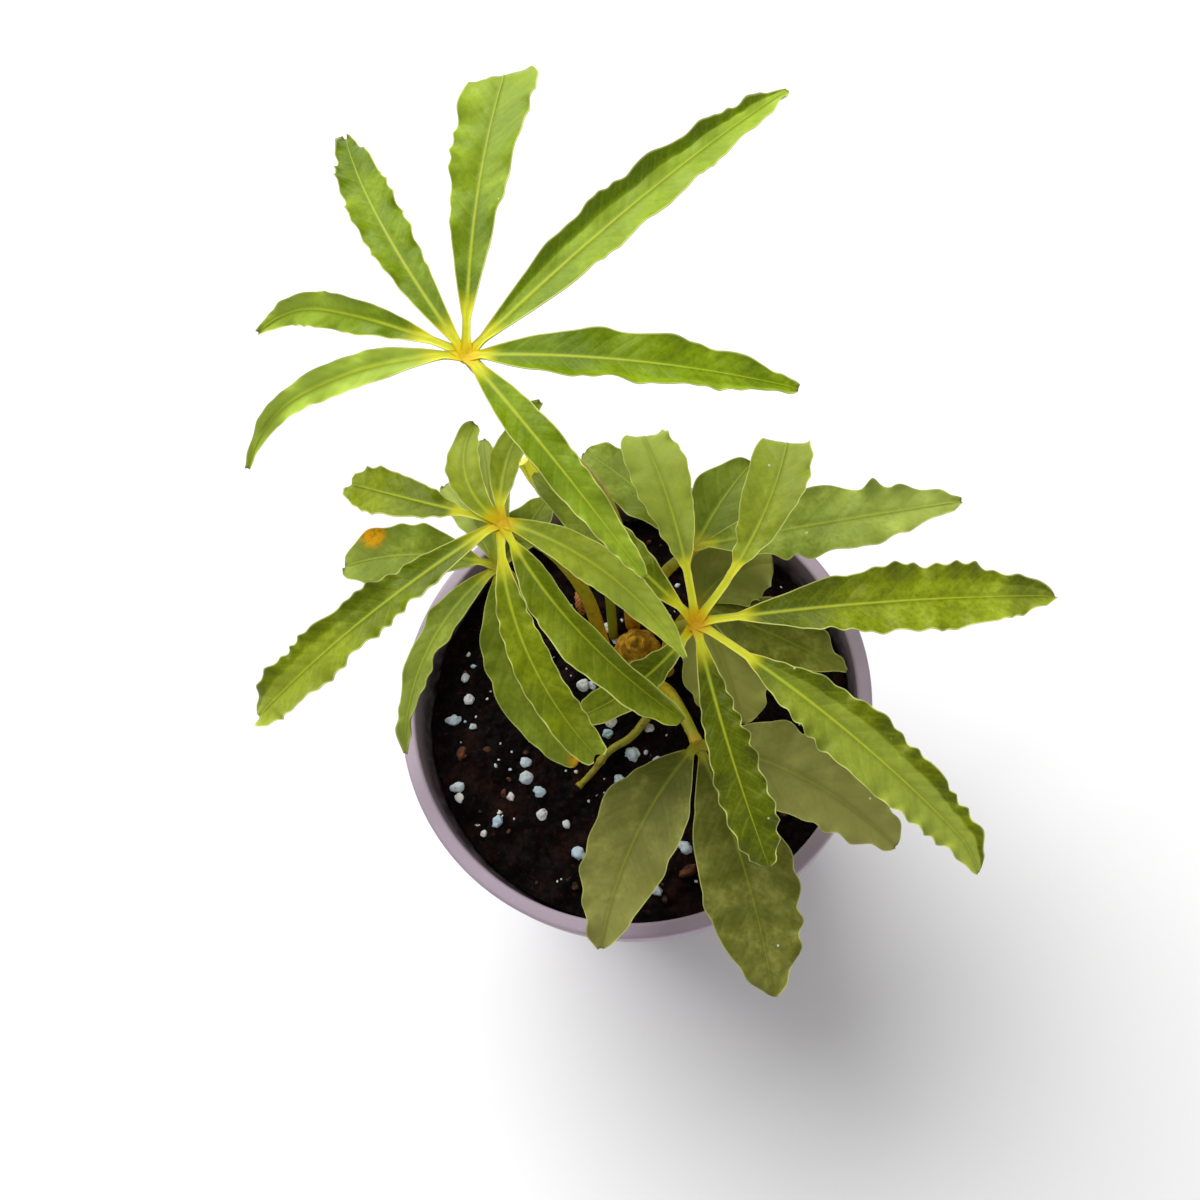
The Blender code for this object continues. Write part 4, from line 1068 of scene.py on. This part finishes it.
def foot_place(angle):
    """Where a stalk stands in the soil, at an angle round the crown."""
    turn = math.radians(angle)
    return CROWN_PLACE[0] + STALK_CIRCLE * math.cos(turn), CROWN_PLACE[1] + STALK_CIRCLE * math.sin(turn)


def stalk_path(foot, via, end, count):
    """A stalk's line: straight up out of its hole, then a smooth curve by way of via to its end."""
    x, y = foot_place(foot)
    above = smooth_curve([(x, y, SOIL_TOP + 2), *via, end], count - 1, start=(0, 0, 8))
    return np.vstack([(x, y, HOLE_BOTTOM + CLEARANCE), above])


def stalk_shape(leaf):
    """A stalk: a round rod that tapers, with a shallow groove along it, a wider foot and a swollen joint
    at the top."""
    count, sides = 72, 20
    path = stalk_path(leaf.foot, leaf.via, leaf.hub, count)
    t = np.linspace(0, 1, count)[:, None]
    angle = round_angles(sides)
    radius = STALK_FOOT_RADIUS + (STALK_TOP_RADIUS - STALK_FOOT_RADIUS) * t
    radius = radius * (1 + 0.20 * smooth_step(t, 0.88, 0.95) * (1 - 0.4 * smooth_step(t, 0.97, 1)))
    groove = 0.10 * np.exp(-((angle - math.pi) / 0.45) ** 2) * smooth_step(t, 0.15, 0.4)
    ribs = 0.015 * np.sin(7 * angle + 3 * t)
    return tube(path, radius * (1 - groove + ribs), {"rise": t}, surface=1)


def hub_shape(leaf):
    """The hub: a flattened ball that swells towards each leaflet, flatter on top. It has the blades'
    finish."""
    angle = round_angles(40)
    tilt = np.radians(np.linspace(-80, 80, 15))[:, None]
    swell = bells(angle, [leaflet.heading for leaflet in leaf.leaflets], 0.28)
    radius = leaf.hub_radius * (0.80 + 0.25 * swell)
    flatness = np.where(tilt > 0, HUB_TOP_FLATNESS, HUB_FLATNESS) + 0.06 * swell * np.sin(2 * tilt)
    rings = np.stack([radius * np.cos(tilt) * np.cos(angle), radius * np.cos(tilt) * np.sin(angle),
                      flatness * leaf.hub_radius * np.sin(tilt)], -1)
    rings = rings + np.asarray(leaf.hub, float)
    low, high = rings[0].mean(0), rings[-1].mean(0)
    core = np.linalg.norm(rings - np.asarray(leaf.hub, float), axis=-1) * np.cos(tilt)
    return closed_rings(rings, low, high, {"core": core, "neck": 1.0, "rib": 9.0, "margin": 9.0, "tip": 9.0})


def new_leaf_shape():
    """The rolled leaf: the stalk's rod swells into a roll, whose radius falls once round the ring, as a
    rolled sheet's does, with the step turning along the roll."""
    count, sides = 130, 64
    path = stalk_path(NEW_LEAF_FOOT, NEW_LEAF_ROUTE[:-1], NEW_LEAF_ROUTE[-1], count)
    t = np.linspace(0, 1, count)[:, None]
    roll = smooth_step(t, 0.60, 0.85)
    radius = STALK_TOP_RADIUS + (NEW_LEAF_RADIUS - STALK_TOP_RADIUS) * roll
    radius = radius * (1 - 0.3 * smooth_step(t, 0.9, 1))
    angle = round_angles(sides)
    share = ((angle[None] - math.radians(NEW_LEAF_TWIST) * t) / (2 * math.pi)) % 1.0
    reach = radius * (1 - NEW_LEAF_OVERLAP * 1.25 * roll * share)
    return tube(path, reach, {"rise": t, "turn": share})


def old_stalk_shape():
    """The fallen stalk: a shrivelled rod along the soil."""
    count, sides = 60, 18
    flat = smooth_curve(OLD_STALK_ROUTE, count)
    t = np.linspace(0, 1, count)[:, None]
    joint = 0.30 * np.exp(-((t - 0.62) / 0.04) ** 2) + 0.35 * smooth_step(t, 0.93, 0.99)
    radii = OLD_STALK_RADIUS * (1 - OLD_STALK_TAPER * t) * (0.85 + joint)
    height = soil_height(flat[:, 0], flat[:, 1]) + radii[:, 0] + SOIL_GAP
    angle = round_angles(sides)
    wrinkles = 1 + 0.06 * np.sin(5 * angle + 4 * t) + 0.05 * value_noise(t * 40, np.cos(angle), 1.0, 31)
    return tube(np.column_stack([flat, height]), radii * wrinkles)


def sheath_shape(settings):
    """The dry sheath: a leaflet's strip rolled nearly full circle, lying on its back."""
    x, y = SHEATH_PLACE
    ground = float(soil_height(x, y))
    strip = Leaflet(100, 13, 3.2, 0.45, 0.5, 20, -265, -20, neck=0.0, cup=8, wave=0.1)
    short = Margin(8.0, 0.04, frill=0.15, frill_length=2.0, vein_spacing=1.0)
    shape = blade_shape(strip, short, (x, y, ground), 91, settings)
    shape.points[:, 2] += ground - shape.points[:, 2].min()
    return shape


def camera_matrix():
    """The camera's place and turn: it looks at the rim's middle from its distance, and is then turned
    so that the rim's middle falls on its pixel and +Y runs up the picture."""
    tilt, turn = math.radians(CAMERA_TILT), math.radians(CAMERA_TURN)
    back = Vector((math.sin(tilt) * math.sin(turn), -math.sin(tilt) * math.cos(turn), math.cos(tilt)))
    right = Vector((0, 1, 0)).cross(back).normalized()
    aimed = Matrix((right, back.cross(right), back)).transposed()
    half = PHOTO_SIZE / 2
    ray = Vector(((RIM_PIXEL[0] - half) / FOCAL_PIXELS, -(RIM_PIXEL[1] - half) / FOCAL_PIXELS, -1))
    off_centre = Vector((0, 0, -1)).rotation_difference(ray).to_matrix()
    place = (Vector((0, 0, POT_HEIGHT)) + back * CAMERA_DISTANCE) * MM
    return Matrix.Translation(place) @ (aimed @ off_centre.transposed()).to_4x4()


def add_light(name, place, width, power):
    """A square area light, at a place in millimetres, that faces the middle of the plant."""
    light = bpy.data.lights.new(name, "AREA")
    light.size = width * MM
    light.energy = power
    lamp = bpy.data.objects.new(name, light)
    lamp.location = Vector(place) * MM
    lamp.rotation_euler = (Vector(PLANT_MIDDLE) * MM - lamp.location).to_track_quat("-Z", "Y").to_euler()
    bpy.context.scene.collection.objects.link(lamp)


class MakePot(bpy.types.Operator):
    """Build the nursery pot and cut its drain holes"""

    bl_idname = "anthurium.make_pot"
    bl_label = "Pot"

    def execute(self, context):
        settings = context.scene.anthurium_pot
        pot = new_piece("nursery_pot", pot_shape(settings.segments), [pot_material(settings)], "pot",
                        sharp=35)
        tools = []
        for k in range(DRAIN_HOLES):
            angle = 2 * math.pi * k / DRAIN_HOLES
            place = (DRAIN_CIRCLE * math.cos(angle), DRAIN_CIRCLE * math.sin(angle))
            rod = [(0, -1), (DRAIN_RADIUS, -1), (DRAIN_RADIUS, POT_FLOOR + 1), (0, POT_FLOOR + 1)]
            tools.append(bpy.data.objects.new("drain", new_mesh("drain", lathe(rod, 40, place), [], 40)))
        cut(pot, tools)
        return {"FINISHED"}


class MakeSoil(bpy.types.Operator):
    """Build the peat with its crumbs"""

    bl_idname = "anthurium.make_soil"
    bl_label = "Peat"

    def execute(self, context):
        settings = context.scene.anthurium_soil
        new_piece("peat", soil_shape(settings), [peat_material(settings)], "soil")
        return {"FINISHED"}


class MakeGrains(bpy.types.Operator):
    """Build the perlite and the bits of bark on the peat"""

    bl_idname = "anthurium.make_grains"
    bl_label = "Perlite and Bark"

    def execute(self, context):
        settings = context.scene.anthurium_soil
        perlite, bark = [], []
        for seed, (x, y, width) in enumerate(grain_places()):
            group, rough = (bark, 0.5) if (x, y) in BARK_PLACES else (perlite, 0.30)
            group.append(grain_shape(x, y, width, seed, rough))
        for group, places, first, widen, rough, detail in (
                (perlite, FINE_GRAINS, 40, 1, 0.35, GRAIN_DETAIL),
                (perlite, crumb_places(PERLITE_CRUMBS, 5), 60, 1, 0.40, CRUMB_DETAIL),
                (bark, crumb_places(BARK_CRUMBS, 6), 260, 1.5, 0.70, CRUMB_DETAIL)):
            group += [grain_shape(x, y, widen * width, seed, rough, detail)
                      for seed, (x, y, width) in enumerate(places, first)]
        new_piece("perlite", join(perlite), [perlite_material(settings)], "soil")
        new_piece("bark_bits", join(bark), [bark_material()], "soil", sharp=30)
        return {"FINISHED"}


class MakeCrown(bpy.types.Operator):
    """Build the short ringed stem"""

    bl_idname = "anthurium.make_crown"
    bl_label = "Crown"

    def execute(self, context):
        new_piece("ringed_stem", crown_shape(), [crown_material()], "crown")
        return {"FINISHED"}


class MakeLeaves(bpy.types.Operator):
    """Build the seven palmate leaves, each with its stalk"""

    bl_idname = "anthurium.make_leaves"
    bl_label = "Leaves"

    def execute(self, context):
        settings = context.scene.anthurium_leaf
        petiole = petiole_material()
        seed = 0
        for leaf in LEAVES:
            shapes = [stalk_shape(leaf), hub_shape(leaf)]
            for leaflet in leaf.leaflets:
                seed += 1
                shapes.append(blade_shape(leaflet, leaf.margin, leaf.hub, seed, settings))
            blade = blade_material(leaf.piece + "_cuticle", FINISHES[leaf.piece], settings)
            new_piece(leaf.piece, join(shapes), [blade, petiole], leaf.node)
        return {"FINISHED"}


class MakeNewLeaf(bpy.types.Operator):
    """Build the new leaf, still rolled, on its stalk"""

    bl_idname = "anthurium.make_new_leaf"
    bl_label = "New Leaf"

    def execute(self, context):
        new_piece("rolled_leaf", new_leaf_shape(), [new_leaf_material()], "leaf_new")
        return {"FINISHED"}


class MakeRemains(bpy.types.Operator):
    """Build the fallen stalk and the dry sheath on the peat"""

    bl_idname = "anthurium.make_remains"
    bl_label = "Fallen Stalk and Sheath"

    def execute(self, context):
        new_piece("fallen_stalk", old_stalk_shape(), [old_stalk_material()], "old_stalk")
        sheath = sheath_shape(context.scene.anthurium_leaf)
        new_piece("sheath_curl", sheath, [sheath_material()], "dry_sheath")
        return {"FINISHED"}


class MakeStage(bpy.types.Operator):
    """Set the floor, the lights, the sky and the camera"""

    bl_idname = "anthurium.make_stage"
    bl_label = "Stage"

    def execute(self, context):
        scene = context.scene
        settings = scene.anthurium_stage
        side = FLOOR_WIDTH / 2
        corners = np.array([(-side, -side, 0), (side, -side, 0), (side, side, 0), (-side, side, 0)])
        flat = Shape(corners, np.array([[0, 1, 2, 3]]), np.empty((0, 3), int), {}, 0)
        floor = bpy.data.objects.new("floor", new_mesh("floor", flat, [board_material(settings)], 40))
        scene.collection.objects.link(floor)

        add_light("key_light", KEY_PLACE, KEY_WIDTH, settings.key_power)
        add_light("fill_light", FILL_PLACE, FILL_WIDTH, settings.fill_power)
        world = bpy.data.worlds.new("studio")
        world.use_nodes = True
        feed(world.node_tree.nodes["Background"], {"Color": "#FFFFFF", "Strength": settings.sky})
        scene.world = world
        scene.view_settings.view_transform = "Standard"

        lens = bpy.data.cameras.new("camera")
        lens.sensor_width = SENSOR_WIDTH
        lens.lens = SENSOR_WIDTH * FOCAL_PIXELS / PHOTO_SIZE
        lens.clip_start = 0.01
        camera = bpy.data.objects.new("camera", lens)
        camera.matrix_world = camera_matrix()
        scene.collection.objects.link(camera)
        scene.camera = camera
        return {"FINISHED"}


SETTINGS = {"anthurium_pot": PotSettings, "anthurium_soil": SoilSettings, "anthurium_leaf": LeafSettings,
            "anthurium_stage": StageSettings}
OPERATORS = (MakePot, MakeSoil, MakeGrains, MakeCrown, MakeLeaves, MakeNewLeaf, MakeRemains, MakeStage)


class AnthuriumPanel(bpy.types.Panel):
    """Lists the pieces in the order in which they are built, with their sizes and colours"""

    bl_idname = "VIEW3D_PT_anthurium"
    bl_label = "Potted Anthurium"
    bl_space_type = "VIEW_3D"
    bl_region_type = "UI"
    bl_category = "Anthurium"

    def draw(self, context):
        for operator in OPERATORS:
            self.layout.operator(operator.bl_idname)
        for name, group in SETTINGS.items():
            box = self.layout.box()
            for setting in group.__annotations__:
                box.prop(getattr(context.scene, name), setting)


def register():
    """Registers the settings, the operators and the panel."""
    for name, group in SETTINGS.items():
        bpy.utils.register_class(group)
        setattr(bpy.types.Scene, name, PointerProperty(type=group))
    for made in (*OPERATORS, AnthuriumPanel):
        bpy.utils.register_class(made)


def unregister():
    """Removes what register added."""
    for made in reversed((*OPERATORS, AnthuriumPanel)):
        bpy.utils.unregister_class(made)
    for name, group in SETTINGS.items():
        delattr(bpy.types.Scene, name)
        bpy.utils.unregister_class(group)


def main():
    """Builds every piece in order."""
    register()
    bpy.ops.anthurium.make_pot()
    bpy.ops.anthurium.make_soil()
    bpy.ops.anthurium.make_grains()
    bpy.ops.anthurium.make_crown()
    bpy.ops.anthurium.make_leaves()
    bpy.ops.anthurium.make_new_leaf()
    bpy.ops.anthurium.make_remains()
    bpy.ops.anthurium.make_stage()
    bpy.context.view_layer.update()


if __name__ == "__main__":
    main()
